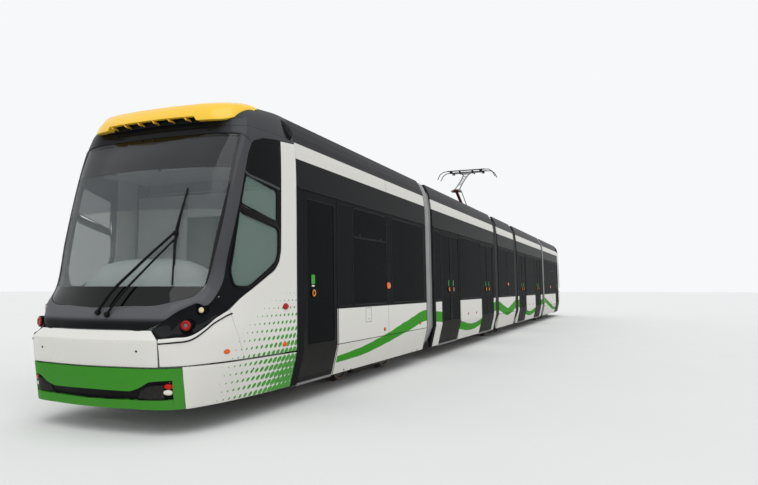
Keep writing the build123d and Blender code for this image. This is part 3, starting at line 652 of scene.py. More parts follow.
def cab_row(z):
    """The outline's numbers at any height: straight between the low rows, smooth above the collar."""
    z = min(max(z, CAB[0][0]), CAB[-1][0])
    i = max(k for k in range(len(CAB) - 1) if CAB[k][0] <= z)
    low, high = CAB[i], CAB[i + 1]
    h = high[0] - low[0]
    u = (z - low[0]) / h
    if i < SMOOTH_FROM:
        return part_way(low[1:], high[1:], u)
    before = CAB[i - 1] if i > SMOOTH_FROM else low
    after = CAB[i + 2] if i + 2 < len(CAB) else high
    return [
        cubic(low[k], high[k], (high[k] - before[k]) / (high[0] - before[0]) * h,
              (after[k] - low[k]) / (after[0] - low[0]) * h, u)
        for k in range(1, 7)
    ]


def cab_outline(z, s):
    """Point on the right-hand outline, s from 0 at the nose to 6 at the cab's back."""
    w, x1, y1, x2, y2, nose = cab_row(z)
    knots = [
        (-x2 / 2, nose + (y2 - nose) * 0.25),
        (0.0, nose),
        (x2 / 2, nose + (y2 - nose) * 0.25),
        (x2, y2),
        ((x1 + x2) / 2 + 0.034, (y1 + y2) / 2 - 0.029),
        (x1, y1),
        ((w + x1) / 2 + 0.030, (CAB_BACK + y1) / 2),
        (w, CAB_BACK),
        (w, CAB_BACK + 0.5),
    ]
    i = min(int(s), 5)
    u = s - i
    a, b, c, d = knots[i : i + 4]
    ab, bc, cd = math.dist(a, b), math.dist(b, c), math.dist(c, d)
    out = []
    for axis in range(2):
        before, here, after = (b[axis] - a[axis]) / ab, (c[axis] - b[axis]) / bc, (d[axis] - c[axis]) / cd
        slope_b = (before * bc + here * ab) / (ab + bc) * bc
        slope_c = (here * cd + after * bc) / (bc + cd) * bc
        out.append(cubic(b[axis], c[axis], slope_b, slope_c, u))
    return out


def find(z, axis, value):
    """The s of the outline point with this x (axis 0) or y (axis 1) at height z."""
    low, high = 0.0, 6.0
    for _ in range(40):
        middle = (low + high) / 2
        if cab_outline(z, middle)[axis] < value:
            low = middle
        else:
            high = middle
    return low


def spot(value, z, lift=0.0):
    """A place on the cab's skin as (s, z, lift), from its height and its x across or its y along.

    A y is always far under -2, an x never is.
    """
    if value < -2.0:
        return (find(z, 1, value), z, lift)
    return (math.copysign(find(z, 0, abs(value)), value), z, lift)


def spots(rows, side=1):
    """Places from rows of (x or y, z) or (x or y, z, lift), mirrored where the side is -1."""
    return on_side([spot(*row) for row in rows], side)


def on_side(line, side):
    return [(s * side, z, lift) for s, z, lift in line]


def both(line):
    """A right-hand line of places from the centre outwards, completed on the left."""
    return on_side(line, -1)[::-1] + line[1:]


def cab_point(s, z, lift=0.0):
    """The 3-D point at (s, z), raised off the skin by lift."""
    def raw(s, z):
        x, y = cab_outline(z, min(abs(s), 6.0))
        return Vector((math.copysign(x, s) if s else 0.0, y, z))

    p = raw(s, z)
    if lift:
        step = 0.02
        along = raw(s + step, z) - raw(s - step, z)
        up = raw(s, min(z + step, 3.6)) - raw(s, z - step)
        normal = along.cross(up)
        if normal.y > 0 and abs(s) < 3 or normal.x * s < 0 and abs(s) >= 3:
            normal.negate()
        p += normal.normalized() * lift
    return tuple(p)


def patch(rails, columns, rows, smooth=True, bulge=None):
    """A grid on the cab's skin between rails, each a line of (s, z, lift) places."""
    lines = [stations(rail, columns, smooth) for rail in rails]
    out = []
    total = (len(lines) - 1) * rows
    for k in range(total + 1):
        i = min(k // rows, len(lines) - 2)
        u = k / rows - i
        row = []
        for c, (a, b) in enumerate(zip(lines[i], lines[i + 1])):
            s, z, lift = part_way(a, b, u)
            if bulge:
                lift += bulge(c / (columns - 1), k / total)
            row.append(cab_point(s, z, lift))
        out.append(row)
    return out


INSIDE = (0.0, -13.6, 1.6)
cab_pieces = []


def cab_sheet(name, grids, paint, thick=0.03, bevel=0.003, smooth=35):
    piece = sheet_piece(name, grids, paint, thick, INSIDE, bevel, smooth)
    cab_pieces.append(piece)
    return piece


def skin_points(rows, side=1):
    """Points over the cab's skin from rows of (x or y, z, lift)."""
    return [cab_point(*place) for place in spots(rows, side)]


SCREEN_FOOT = ((0.0, 1.266), (0.42, 1.286), (0.723, 1.299), (0.893, 1.349), (1.028, 1.439), (1.068, 1.52))
SCREEN_SIDE = ((1.117, 2.025), (1.140, 2.41), (1.147, 2.866))
SCREEN_HEAD = ((0.0, 3.203), (0.5, 3.201), (0.9, 3.192), (1.125, 3.150))


def build_windscreen():
    columns, steps = 61, 40
    rails = [spots(SCREEN_FOOT), *([(0.0, z, 0.0), spot(x, z)] for x, z in SCREEN_SIDE), spots(SCREEN_HEAD)]
    lines = [stations(both(rail), columns) for rail in rails]
    grid = []
    for k in range(steps + 1):
        row = [spline([line[c] for line in lines], k / steps) for c in range(columns)]
        grid.append([cab_point(s, z, -0.004) for s, z, _ in row])
    cab_sheet("windscreen", [grid], "screen", 0.010, 0.0, 60)


FRAME_INNER = (
    (0.0, 1.261), (0.42, 1.281), (0.72, 1.294), (0.893, 1.343), (1.031, 1.433), (1.068, 1.50), (1.078, 1.62),
    (1.092, 1.76), (1.118, 2.025), (1.133, 2.27), (1.138, 2.50), (1.143, 2.72), (1.142, 2.88), (1.139, 3.06),
    (1.137, 3.184),
)
# the collar's lower edge, then the pillar's rear edge
FRAME_LOW = ((0.0, 1.052), (0.436, 1.053), (0.69, 1.056), (0.80, 1.115), (0.924, 1.235), (1.02, 1.30))
PILLAR_BACK = (
    (-14.50, 1.385), (-14.405, 1.55), (-14.372, 1.741), (-14.325, 1.95), (-14.272, 2.14), (-14.215, 2.34),
    (-14.155, 2.58), (-14.106, 2.788), (-14.059, 2.966), (-14.003, 3.085),
)
BROW_FOOT = ((0.0, 3.207), (0.5, 3.205), (0.9, 3.200), (1.137, 3.188), (1.182, 3.160), (1.207, 3.130))
DOME_LINE = (
    (-14.003, 3.090), (-13.941, 3.140), (-13.857, 3.171), (-13.808, 3.188), (-13.584, 3.217),
    (-13.462, 3.225), (-13.30, 3.243), (-13.133, 3.262),
)
DOME_LEVELS = (3.287, 3.34, 3.40, 3.45, 3.505, 3.55, 3.585, 3.6)
DOME_TOP = ((0.985, 3.606), (0.95, 3.612), (0.8, 3.618), (0.5, 3.620), (0.0, 3.620))


def build_screen_frame():
    """Collar under the windscreen that runs up into the corner pillars, as one rounded band."""
    def roll(along, over):
        height = 0.010 + 0.024 * (1 - min(abs(along - 0.5) / 0.24, 1.0))
        return height * math.sin(math.pi * over) ** 0.5

    rails = [both(spots(FRAME_INNER)), both(spots(FRAME_LOW + PILLAR_BACK))]
    cab_sheet("screen_frame", [patch(rails, 181, 12, True, roll)], "mask", 0.02, 0.0, 50)


def build_brow_and_dome():
    """Black shell above the windscreen that turns into the roof."""
    low = spots(BROW_FOOT + DOME_LINE)
    high = [(s, STRIPE_TOP, 0.0) for s, _, _ in low[:-1]] + [spot(-13.133, STRIPE_TOP)]
    cab_sheet("brow", [patch([both(low), both(high)], 161, 4, False)], "mask")
    end = 5.98
    grid = patch([[(s, z, 0.0) for s in (-end, *range(-5, 6), end)] for z in DOME_LEVELS], 121, 2, False)
    rim = grid[-1]
    for shrink, z in DOME_TOP:
        grid.append([(x * shrink, CAB_BACK + (y - CAB_BACK) * shrink, z) for x, y, _ in rim])
    cab_sheet("cab_dome", [grid], "mask", 0.02, 0.0, 40)


LOW_PANE = ((-14.205, 2.322), (-13.553, 2.155), (-13.546, 1.875), (-13.589, 1.768), (-13.701, 1.690),
            (-14.048, 1.480), (-14.264, 1.484), (-14.324, 1.647), (-14.293, 1.818))
VENT_PANE = ((-14.098, 2.716), (-13.583, 2.594), (-13.588, 2.242), (-14.176, 2.392))
# edges of the bar between the panes and of the rail over them: y, z, lift
VENT_BAR = (
    ((-14.186, 2.395, 0.004), (-13.575, 2.245, 0.004)),
    ((-14.210, 2.315, 0.004), (-13.555, 2.150, 0.004)),
)
VENT_RAIL = (
    ((-14.112, 2.765, 0.006), (-13.53, 2.648, 0.006)),
    ((-14.112, 2.735, 0.006), (-13.53, 2.618, 0.006)),
)
STRIP_EDGE = (
    (-14.359, 1.240), (-14.194, 1.352), (-13.971, 1.476), (-13.734, 1.607), (-13.605, 1.680), (-13.520, 1.78),
    (-13.490, 1.914), (-13.486, 2.21), (-13.486, 2.6), (-13.484, 2.95), (-13.480, 3.219),
)


def soften(outline, radius):
    """Rounds the corners of a closed (y, z) outline."""
    out = []
    count, steps = len(outline), 4
    for k, corner in enumerate(outline):
        here = Vector(corner)
        before, after = Vector(outline[k - 1]) - here, Vector(outline[(k + 1) % count]) - here
        cut = min(radius, before.length * 0.45, after.length * 0.45)
        a, b = here + before.normalized() * cut, here + after.normalized() * cut
        for j in range(steps + 1):
            u = j / steps
            out.append(tuple(a * (1 - u) ** 2 + here * 2 * u * (1 - u) + b * u * u))
    return out


def ring_rows(outer, inner, side, lifts):
    """Rows of points between two closed lines of places with equal counts."""
    rows = []
    for u, lift in lifts:
        line = [part_way(p[:2], q[:2], u) for p, q in zip(outer, inner)]
        rows.append([cab_point(s * side, z, lift) for s, z in line])
    return rows


def middle_of(line):
    return [sum(p[k] for p in line) / len(line) for k in range(len(line[0]))]


def match(outer, inner, count):
    """Both closed outlines with the same number of points, paired by their turn round the inner one."""
    mid = middle_of(inner)

    def turn(p):
        return math.atan2(p[1] - mid[1], (p[0] - mid[0]) * 1.2)

    def miss(p, want):
        return abs((turn(p) - want + math.pi) % (2 * math.pi) - math.pi)

    out = []
    for line in (outer, inner):
        dense = stations(list(line) + [line[0]], 900, False)[:-1]
        picked = [min(dense, key=lambda p: miss(p, want - math.pi)) for want in turns(count)]
        out.append(picked + picked[:1])
    return out


def build_side_glazing():
    """Black side panel of the cab with a two-pane window, its frame and slanting bar, on both sides."""
    border = spots(STRIP_EDGE + DOME_LINE[4::-1] + PILLAR_BACK[-2::-1])
    border = [(s, z - 0.004 if z > 3.1 else z, lift) for s, z, lift in border]
    outer, inner = match(border, spots(soften(VENT_PANE[:2] + LOW_PANE[1:], 0.05)), 160)
    panes = (("low", spots(soften(LOW_PANE, 0.06))), ("vent", spots(soften(VENT_PANE, 0.03))))
    for side, name in SIDES:
        rows = ring_rows(outer, inner, side, ((0.0, 0.0), (0.3, 0.0), (0.6, 0.0), (0.9, 0.0), (1.0, -0.004)))
        cab_sheet(f"side_glazing_{name}", [rows], "black", 0.02, 0.002)
        for tag, outline in panes:
            mid = middle_of(outline)
            closed = outline + outline[:1]
            rows = ring_rows(closed, [mid] * len(closed), side, [(k / 4, -0.010) for k in range(5)])
            cab_sheet(f"{tag}_pane_{name}", [rows], "cab_glass", 0.006, 0.0, 60)
            frame_out = [(s + (s - mid[0]) * 0.05, z + (z - mid[1]) * 0.05, 0.0) for s, z, _ in closed]
            lifts = ((0.0, -0.004), (0.2, 0.006), (0.7, 0.008), (1.0, -0.012))
            rows = ring_rows(frame_out, closed, side, lifts)
            cab_sheet(f"{tag}_frame_{name}", [rows], "trim", 0.008, 0.001, 50)
        for tag, edges, steps, paint, thick, bevel in (
            ("vent_bar", VENT_BAR, 4, "trim", 0.015, 0.003), ("vent_rail", VENT_RAIL, 2, "mask", 0.01, 0.002),
        ):
            grid = patch([spots(edge, side) for edge in edges], 15, steps, False)
            cab_sheet(f"{tag}_{name}", [grid], paint, thick, bevel)


NOSE_RAILS = ((0.838, 0.690), (0.846, 0.955), (0.742, 1.045))
CORNER_TOP = (
    (0.856, 0.966), (0.96, 0.975), (1.07, 0.995), (1.135, 1.085), (-14.52, 1.152), (-14.42, 1.202),
    (-14.338, 1.238),
)
CORNER_RAILS = (
    ((0.856, 0.696), (1.0, 0.696), (-14.70, 0.70), (-14.40, 0.704), (-14.118, 0.706)),
    ((0.856, 0.83), (1.02, 0.835), (-14.72, 0.85), (-14.45, 0.90), (-14.232, 0.966)),
    CORNER_TOP,
)
# side panel up to the foot of the strip beside the door; the strip's front edge is 6 mm inside STRIP_EDGE
STRIP_FRONT = -13.482
STRIP_FOOT = 1.914
PANEL_FOOT = 0.706
PANEL_BACK = CAB_BACK - 0.003
PANEL_RAILS = (
    ((-14.114, PANEL_FOOT), (-13.8, PANEL_FOOT), (STRIP_FRONT, PANEL_FOOT)),
    ((-14.229, 0.966), (-13.83, 1.03), (STRIP_FRONT, 1.16)),
)
STRIP_LEVELS = (STRIP_FOOT, 2.2, 2.6, 3.0, 3.15)
SKIRT_FRONT = ((0.268, -14.775), (0.358, -14.790), (0.480, -14.808), (0.563, -14.822), (0.672, -14.839))


def build_white_panels():
    """Nose panel, corner panels, side panels with the upright strip, and lower skirts."""
    nose = [stations(both([(0.0, z, 0.0), spot(x, z)]), 41) for x, z in NOSE_RAILS]
    cab_sheet("nose_panel", [patch(nose, 41, 6, False)], "cab_white", 0.03, 0.004, 25)
    for side, name in SIDES:
        rails = [spots(rail, side) for rail in CORNER_RAILS]
        cab_sheet(f"corner_panel_{name}", [patch(rails, 41, 7)], "cab_white", 0.03, 0.003, 25)
        # joint under the panel's edge strip
        drop = [0.046 + 0.010 * k / (len(CORNER_TOP) - 1) for k in range(len(CORNER_TOP))]
        joint = [cab_point(s, z - down, 0.001) for (s, z, _), down in zip(rails[-1], drop)]
        joint += skin_points([(-14.312, 1.196, 0.001)], side)
        cab_pieces.append(tube(f"corner_joint_{name}", joint, 0.008, "rubber", 8))
        # side panel with the strip beside the door
        edge = [(s, z - 0.006, lift) for s, z, lift in spots(STRIP_EDGE[1:6])]
        top = on_side([spot(-14.334, 1.242), *edge, spot(STRIP_FRONT, STRIP_FOOT)], side)
        rails = [stations(rail, 41) for rail in (*(spots(rail, side) for rail in PANEL_RAILS), top)]
        back = spots(((PANEL_BACK, PANEL_FOOT), (PANEL_BACK, STRIP_FOOT)), side)
        strip = [spots(((STRIP_FRONT, z), (PANEL_BACK, z)), side) for z in STRIP_LEVELS]
        strip.append(spots(((-13.478, 3.217), (PANEL_BACK, 3.256)), side))
        gore = [[rails[0][-1], back[0]], [rails[2][-1], back[1]]]
        grids = [patch(rails, 41, 7, False), patch(gore, 9, 14, False), patch(strip, 9, 6, False)]
        cab_sheet(f"side_panel_{name}", grids, "cab_white", 0.03, 0.003, 25)
        # lower skirt behind the bumper
        rails = []
        for z, y in (*SKIRT_FRONT[:-1], (0.684, -14.839)):
            rails.append(spots(((y + 0.005, z), (-14.4, z), (-13.8, z), (PANEL_BACK, z)), side))
        cab_sheet(f"cab_skirt_{name}", [patch(rails, 41, 3)], "cab_white", 0.03, 0.004, 25)


# the bumper's slot: x, height of its upper and of its lower edge
SLOT_HIGH = ((0.0, 0.452), (0.518, 0.446), (0.628, 0.482), (0.738, 0.545), (0.85, 0.556), (0.940, 0.558))
SLOT_LOW = ((0.0, 0.354), (0.56, 0.358), (0.940, 0.366))
HOUSING_LOW = ((0.575, 0.364, -0.030), (0.70, 0.366, -0.014), (0.868, 0.368, -0.012))
HOUSING_TOP = ((0.625, 0.450, -0.034), (0.73, 0.497, -0.020), (0.868, 0.510, -0.014))


def build_bumper():
    """Green bumper with its long dark slot that widens round the lamps."""
    columns, reach = 97, 0.940
    xs = [-reach + 2 * reach * k / (columns - 1) for k in range(columns)]
    low, high = ([spot(x, read(edge, abs(x))) for x in xs] for edge in (SLOT_LOW, SLOT_HIGH))
    hem = [spot(x * 0.985, 0.268) for x in xs]
    crest = [spot(x, 0.672) for x in xs]
    grids = [patch([hem, low], columns, 5, False), patch([high, crest], columns, 8, False)]
    for side, _ in SIDES:
        ends = []
        for z, end in SKIRT_FRONT:
            inner = reach * (0.985 if z < 0.3 else 1.0)
            ends.append(spots(((inner, z), (end, z)), side))
        grids.append(patch(ends, 7, 5, False))
    cab_sheet("bumper_skin", grids, "green", 0.03, 0.003, 30)
    # the slot's walls and floor
    depth = -0.045
    loop = high + low[::-1] + high[:1]
    wall = [[cab_point(s, z, lift) for s, z, _ in loop] for lift in (-0.002, -0.02, depth)]
    floor = patch([[(s, z, depth) for s, z, _ in edge] for edge in (low, high)], columns, 4, False)
    cab_sheet("bumper_slot", [wall, floor], "trim", 0.006, 0.0, 40)
    for side, name in SIDES:
        housing = patch([spots(HOUSING_LOW, side), spots(HOUSING_TOP, side)], 15, 5)
        cab_sheet(f"lamp_housing_{name}", [housing], "black", 0.014, 0.002)
        for tag, x, z, wide, tall, lift, paint, dome in (
            ("tail_lamp", 0.912, 0.493, 0.040, 0.027, -0.018, "red_lens", 0.014),
            ("marker_lamp", 0.906, 0.434, 0.040, 0.027, -0.018, "white_lens", 0.014),
            ("slot_screw", 0.922, 0.536, 0.008, 0.007, -0.020, "sill", 0.006),
            ("nose_cap", 0.640, 0.846, 0.012, 0.012, 0.001, "trim", 0.006),
        ):
            oval(f"{tag}_{name}", (x, z), side, wide, tall, lift, paint, dome)


def oval(name, place, side, wide, tall, lift, paint, dome):
    """A domed oval on the cab's skin at (x or y, z): a lamp, a cap or a screw."""
    s0, z, _ = spot(*place)
    run = math.dist(cab_outline(z, s0 + 0.05), cab_outline(z, s0 - 0.05)) / 0.1
    profile = [(0.0, dome), (0.35, dome * 0.9), (0.7, dome * 0.6), (0.92, dome * 0.15)]
    rows = []
    for t, rise in profile + [(1.0, -0.002), (1.02, -0.012)]:
        line = [(s0 * side + wide / run * t * math.cos(a), z + tall * t * math.sin(a)) for a in turns(24, 1)]
        rows.append([cab_point(s, height, lift + rise) for s, height in line])
    rows.append([rows[-1][0]] * 25)
    cab_pieces.append(rounded_piece(name, rows, paint))


RECESS_TOP = ((0.748, 1.050), (0.80, 1.106), (0.924, 1.228), (1.02, 1.292), (1.09, 1.345), (-14.499, 1.386))
RECESS_LOW = (
    (0.752, 1.047), (0.856, 0.970), (0.96, 0.979), (1.07, 0.999), (1.135, 1.089), (-14.52, 1.156),
    (-14.42, 1.206), (-14.360, 1.237),
)
# name, x and z, radius, share of it that is lens, lens and ring paints
POD_LAMPS = (
    ("head", 1.012, 1.089, 0.050, 0.44, "lamp_glass", "red_reflector"),
    ("side", 1.085, 1.240, 0.036, 0.76, "cream_lens", "black"),
)


def build_lamp_recess():
    """Dark recess between collar and corner panel, with its two lamp pods, on both sides."""
    def bowl(along, over):
        return -0.045 * math.sin(math.pi * over) ** 0.5 * min(1.0, 4 * along, 6 * (1 - along))

    for side, name in SIDES:
        recess = patch([spots(RECESS_LOW, side), spots(RECESS_TOP, side)], 41, 14, True, bowl)
        cab_sheet(f"lamp_recess_{name}", [recess], "black", 0.012, 0.0, 50)
        oval(f"dot_lamp_{name}", (-14.47, 1.373), side, 0.010, 0.009, 0.002, "sill", 0.006)
        axis = Vector((0.32 * side, -1.0, 0.0)).normalized()
        for tag, x, z, r, hole, lens_paint, ring_paint in POD_LAMPS:
            face = Vector(skin_points([(x, z, 0.010)], side)[0])
            path = [face - axis * back for back in (0.11, 0.012, 0.0)]
            pod = tube(f"{tag}_pod_{name}", path, lambda t, r=r: r * (1.28 - 0.08 * t), "black", 32, False)
            band = r * (1 - hole) / 2
            ring = ring_torus(f"{tag}_ring_{name}", face, axis, r - band, band + 0.002, ring_paint)
            glass = dome_lens(f"{tag}_lens_{name}", face, axis, r * hole + 0.002, lens_paint)
            cab_pieces.extend((pod, ring, glass))


def ring_torus(name, centre, axis, radius, thick, paint):
    profile = [(thick * 0.8 * math.sin(b), radius + thick * math.cos(b)) for b in turns(12, 1)]
    return turned_piece(name, centre, axis, profile, paint, 40)


def dome_lens(name, centre, axis, radius, paint):
    quarter = [math.pi / 2 * k / 8 for k in range(9)]
    profile = [(radius * 0.35 * math.cos(a), radius * math.sin(a)) for a in quarter]
    return turned_piece(name, centre, axis, profile + [(-0.02, radius), (-0.02, 0.0)], paint, 32)


# hood over the windscreen: x, then y and z of its lip, front crease, upper bend, top and rear edge
HOOD = (
    (0.00, -14.325, 3.345, -14.305, 3.440, -14.225, 3.555, -14.06, 3.612, -13.86, 3.628),
    (0.35, -14.312, 3.345, -14.293, 3.440, -14.213, 3.555, -14.05, 3.612, -13.86, 3.628),
    (0.65, -14.276, 3.345, -14.258, 3.440, -14.180, 3.553, -14.03, 3.611, -13.85, 3.627),
    (0.80, -14.245, 3.346, -14.218, 3.440, -14.140, 3.551, -13.99, 3.610, -13.83, 3.625),
    (0.92, -14.195, 3.350, -14.155, 3.442, -14.070, 3.550, -13.93, 3.608, -13.80, 3.622),
    (1.00, -14.110, 3.378, -14.060, 3.456, -13.985, 3.556, -13.86, 3.606, -13.76, 3.618),
    (1.05, -13.990, 3.430, -13.955, 3.485, -13.900, 3.556, -13.81, 3.590, -13.74, 3.600),
    (1.08, -13.880, 3.480, -13.860, 3.510, -13.830, 3.552, -13.78, 3.574, -13.73, 3.582),
    (1.095, -13.79, 3.520, -13.780, 3.532, -13.770, 3.546, -13.75, 3.556, -13.72, 3.562),
)
# the air slots: how far they reach from the middle, the height of the lip over them, the fins' heights
AIR_REACH = 0.65
AIR_LIP = 3.392
FIN_TOP, FIN_FOOT = 3.402, 3.357


def build_hood():
    """Yellow hood with a row of air slots between its lip and the black shell."""
    rows = stations([(-row[0], *row[1:]) for row in HOOD[:0:-1]] + list(HOOD), 121)
    lines = [[] for _ in range(6)]
    for x, y, z, *upper in rows:
        lip = AIR_LIP if abs(x) < AIR_REACH else z
        back = 0.10 if abs(x) < 0.95 else 0.10 * max(0.2, (1.115 - abs(x)) / 0.165)
        lines[0].append((x * 0.99, y + back, lip + 0.004))
        lines[1].append((x, y, lip))
        for line, place in zip(lines[2:], zip(upper[::2], upper[1::2])):
            line.append((x, *place))
    shell = lines[:1]
    for a, b in zip(lines, lines[1:]):
        shell += [[part_way(p, q, 0.5) for p, q in zip(a, b)], b]
    cab_pieces.append(sheet_piece("visor_hood", [shell], "yellow", 0.012, (0, -13.9, 3.4), 0.004, 40))
    fins = []
    for i in range(6):
        x = AIR_REACH * (-0.90 + 0.335 * i)
        lip = min(rows, key=lambda row: abs(row[0] - x))[1] + 0.004
        lean = (FIN_TOP - FIN_FOOT) * 0.25
        front = [(x - 0.022, lip, FIN_TOP), (x - 0.009, lip, FIN_TOP),
                 (x + 0.022, lip + lean, FIN_FOOT), (x + 0.009, lip + lean, FIN_FOOT)]
        rear = [(fx, y + 0.11, z) for fx, y, z in front]
        fins += [[front + front[:1], rear + rear[:1]], [front[:2], front[:1:-1]]]
    cab_pieces.append(new_piece("visor_fins", grid_mesh("visor_fins", fins), "yellow"))
    # dark channel behind the fins
    channel = [[(row[0], row[1] + back, z) for row in rows if abs(row[0]) < 0.9]
               for z, back in ((3.400, 0.04), (3.385, 0.105), (3.345, 0.112))]
    cab_pieces.append(sheet_piece("slot_channel", [channel], "trim", 0.004, (0, -13.9, 3.5)))


# the wiper's bars: name, radius, taper, paint, places over the glass
WIPER = (
    ("arm", 0.017, 0.004, "trim", (
        (0.10, 1.20, 0.05), (0.17, 1.34, 0.060), (0.43, 1.68, 0.055), (0.735, 2.044, 0.045))),
    ("rod", 0.013, 0.003, "trim", (
        (0.22, 1.18, 0.05), (0.30, 1.34, 0.055), (0.53, 1.68, 0.050), (0.765, 2.00, 0.040))),
    ("blade", 0.010, 0.0, "rubber", (
        (0.785, 1.488, 0.014), (0.752, 1.80, 0.018), (0.742, 2.02, 0.020), (0.742, 2.28, 0.018),
        (0.745, 2.53, 0.012))),
    ("bridge", 0.013, 0.0, "trim", (
        (0.765, 1.70, 0.020), (0.748, 1.90, 0.040), (0.740, 2.04, 0.048), (0.742, 2.18, 0.040),
        (0.744, 2.36, 0.020))),
)


def build_wiper():
    pieces = []
    for tag, radius, taper, paint, rows in WIPER:
        pieces.append(tube(f"wiper_{tag}", skin_points(rows), lambda t: radius - taper * t, paint))
    joint = skin_points([(0.742, 2.03, 0.020)])
    joint.append((joint[0][0], joint[0][1] - 0.045, joint[0][2]))
    pieces.append(tube("wiper_joint", joint, 0.024, "trim", 16, False))
    for x, z in ((0.10, 1.20), (0.22, 1.18)):
        pivot = skin_points([(x, z, 0.018), (x, z, 0.062)])
        pieces.append(tube("wiper_pivot", pivot, 0.026, "trim", 20, False))
    cab_pieces.append(joined("wiper", pieces))


# a camera pod's outline, along and up from its middle
POD = ((-0.075, 0.035), (-0.035, 0.075), (0.045, 0.070), (0.080, 0.030), (0.070, -0.030), (0.010, -0.080),
       (-0.050, -0.070), (-0.078, -0.020))
# name, y and z, half width and height, paint, height of the dome
MARKERS = (
    ("corner", -14.385, 0.803, 0.045, 0.026, "orange_lens", 0.010),
    ("door", -13.395, 0.803, 0.052, 0.027, "orange_lens", 0.018),
    ("upper", -13.385, 1.246, 0.062, 0.040, "red_reflector", 0.026),
    ("cap", -13.937, 0.579, 0.010, 0.010, "trim", 0.003),
)


def build_pods():
    """Faceted camera pod on each side of the shell, and the oval markers and cap on the white panels."""
    for side, name in SIDES:
        kit = Kit(f"camera_pod_{name}")
        # from the shell outwards, as rows of (x, share of the outline's size)
        kit.loft([[(side * (x - q * 0.45), -13.25 + p * grow, 3.405 + q * grow) for p, q in POD]
                  for x, grow in ((1.120, 1.7), (1.205, 1.7), (1.243, 1.05), (1.246, 0.97))], "black")
        eye = ((0.0, 0.016), (0.012, 0.016), (0.016, 0.010), (0.017, 0.001))
        kit.turned((side * 1.236, -13.262, 3.40), (side, 0, 0), eye, "side_glass", 20)
        cab_pieces.append(kit.made(20))
        for tag, y, z, wide, tall, paint, dome in MARKERS:
            oval(f"{tag}_marker_{name}", (y, z), side, wide, tall, 0.002, paint, dome)


def build_cab():
    build_pods()
    build_windscreen()
    build_screen_frame()
    build_brow_and_dome()
    build_side_glazing()
    build_white_panels()
    build_bumper()
    build_lamp_recess()
    build_hood()
    build_wiper()
    for piece in cab_pieces:
        at_both_ends(piece, "car", (REPLACED[piece.name],) if piece.name in REPLACED else ())


# cab pieces that stand in for a node of the frame
REPLACED = {
    "windscreen": "glass",
    "brow": "cab_mask",
    "side_panel_right": "cab_panels",
    "bumper_skin": "bumper",
    "visor_hood": "visor",
    "head_lens_right": "lamps",
    "wiper": "cab_fittings",
}


# Kits of small parts
def skin_x(z):
    """Half width of the body's side at a height."""
    return read(SKIN, z)


def rounded(y0, y1, z0, z1, radius, steps=4):
    """Outline of a rectangle with round corners, as (y, z) points."""
    out = []
    corners = (
        (y1 - radius, z1 - radius, 0), (y0 + radius, z1 - radius, 90),
        (y0 + radius, z0 + radius, 180), (y1 - radius, z0 + radius, 270),
    )
    for y, z, start in corners:
        for k in range(steps + 1):
            a = math.radians(start + 90 * k / steps)
            out.append((y + radius * math.cos(a), z + radius * math.sin(a)))
    return out


class Growth:
    """A geometry node tree for a row or ring of like parts, with named sizes."""

    def __init__(self, name, sizes):
        self.group = bpy.data.node_groups.new(name, "GeometryNodeTree")
        face = self.group.interface
        for label, value in sizes.items():
            kind = "NodeSocketInt" if isinstance(value, int) else "NodeSocketFloat"
            face.new_socket(label, in_out="INPUT", socket_type=kind).default_value = value
        face.new_socket("Paint", in_out="INPUT", socket_type="NodeSocketMaterial")
        face.new_socket("Parts", in_out="OUTPUT", socket_type="NodeSocketGeometry")
        self.sizes = self.group.nodes.new("NodeGroupInput").outputs

    def node(self, kind, settings=None, values=None, output=0):
        return add_node(self.group, kind, settings, values).outputs[output]

    def vector(self, x=0.0, y=0.0, z=0.0):
        return self.node("ShaderNodeCombineXYZ", None, {0: x, 1: y, 2: z})

    def ends(self, points, part, turn=(0.0, 0.0, 0.0)):
        """Sets the part on every point and closes the tree."""
        values = {"Points": points, "Instance": part, "Rotation": turn}
        parts = self.node("GeometryNodeInstanceOnPoints", None, values)
        real = self.node("GeometryNodeRealizeInstances", None, {0: parts})
        values = {"Geometry": real, "Material": self.sizes["Paint"]}
        painted = self.node("GeometryNodeSetMaterial", None, values)
        self.group.links.new(painted, self.group.nodes.new("NodeGroupOutput").inputs[0])
        return self.group

    def line(self, count):
        """As many points as this size says, along y at the pitch."""
        values = {"Count": self.sizes[count], "Offset": self.vector(0.0, self.sizes["Pitch"])}
        return self.node("GeometryNodeMeshLine", None, values)

    def times(self, first, second):
        return self.node("ShaderNodeMath", {"operation": "MULTIPLY"}, {0: first, 1: second})

    def swept(self, length, profile):
        """A closed bar across x, as long as this size says, with a profile curve."""
        half = self.times(self.sizes[length], 0.5)
        ends = {"Start": self.vector(self.times(half, -1.0)), "End": self.vector(half)}
        run = self.node("GeometryNodeCurvePrimitiveLine", None, ends)
        values = {"Curve": run, "Profile Curve": profile, "Fill Caps": True}
        return self.node("GeometryNodeCurveToMesh", None, values)

    def bolt(self):
        """A hexagon head."""
        low = self.times(self.sizes["Head"], 0.8)
        values = {"Vertices": 6, "Radius Top": low, "Radius Bottom": self.sizes["Head"], "Depth": low}
        return self.node("GeometryNodeMeshCone", None, values)


def slat_row():
    """Slats in a row along y, each a flat bar across x, tilted about its length."""
    tree = Growth("slat_row", {"Slats": 10, "Pitch": 0.05, "Width": 1.0, "Depth": 0.03, "Tilt": 0.5})
    values = {"Width": tree.sizes["Depth"], "Height": 0.003}
    edge = tree.node("GeometryNodeCurvePrimitiveQuadrilateral", None, values)
    return tree.ends(tree.line("Slats"), tree.swept("Width", edge), tree.vector(tree.sizes["Tilt"]))


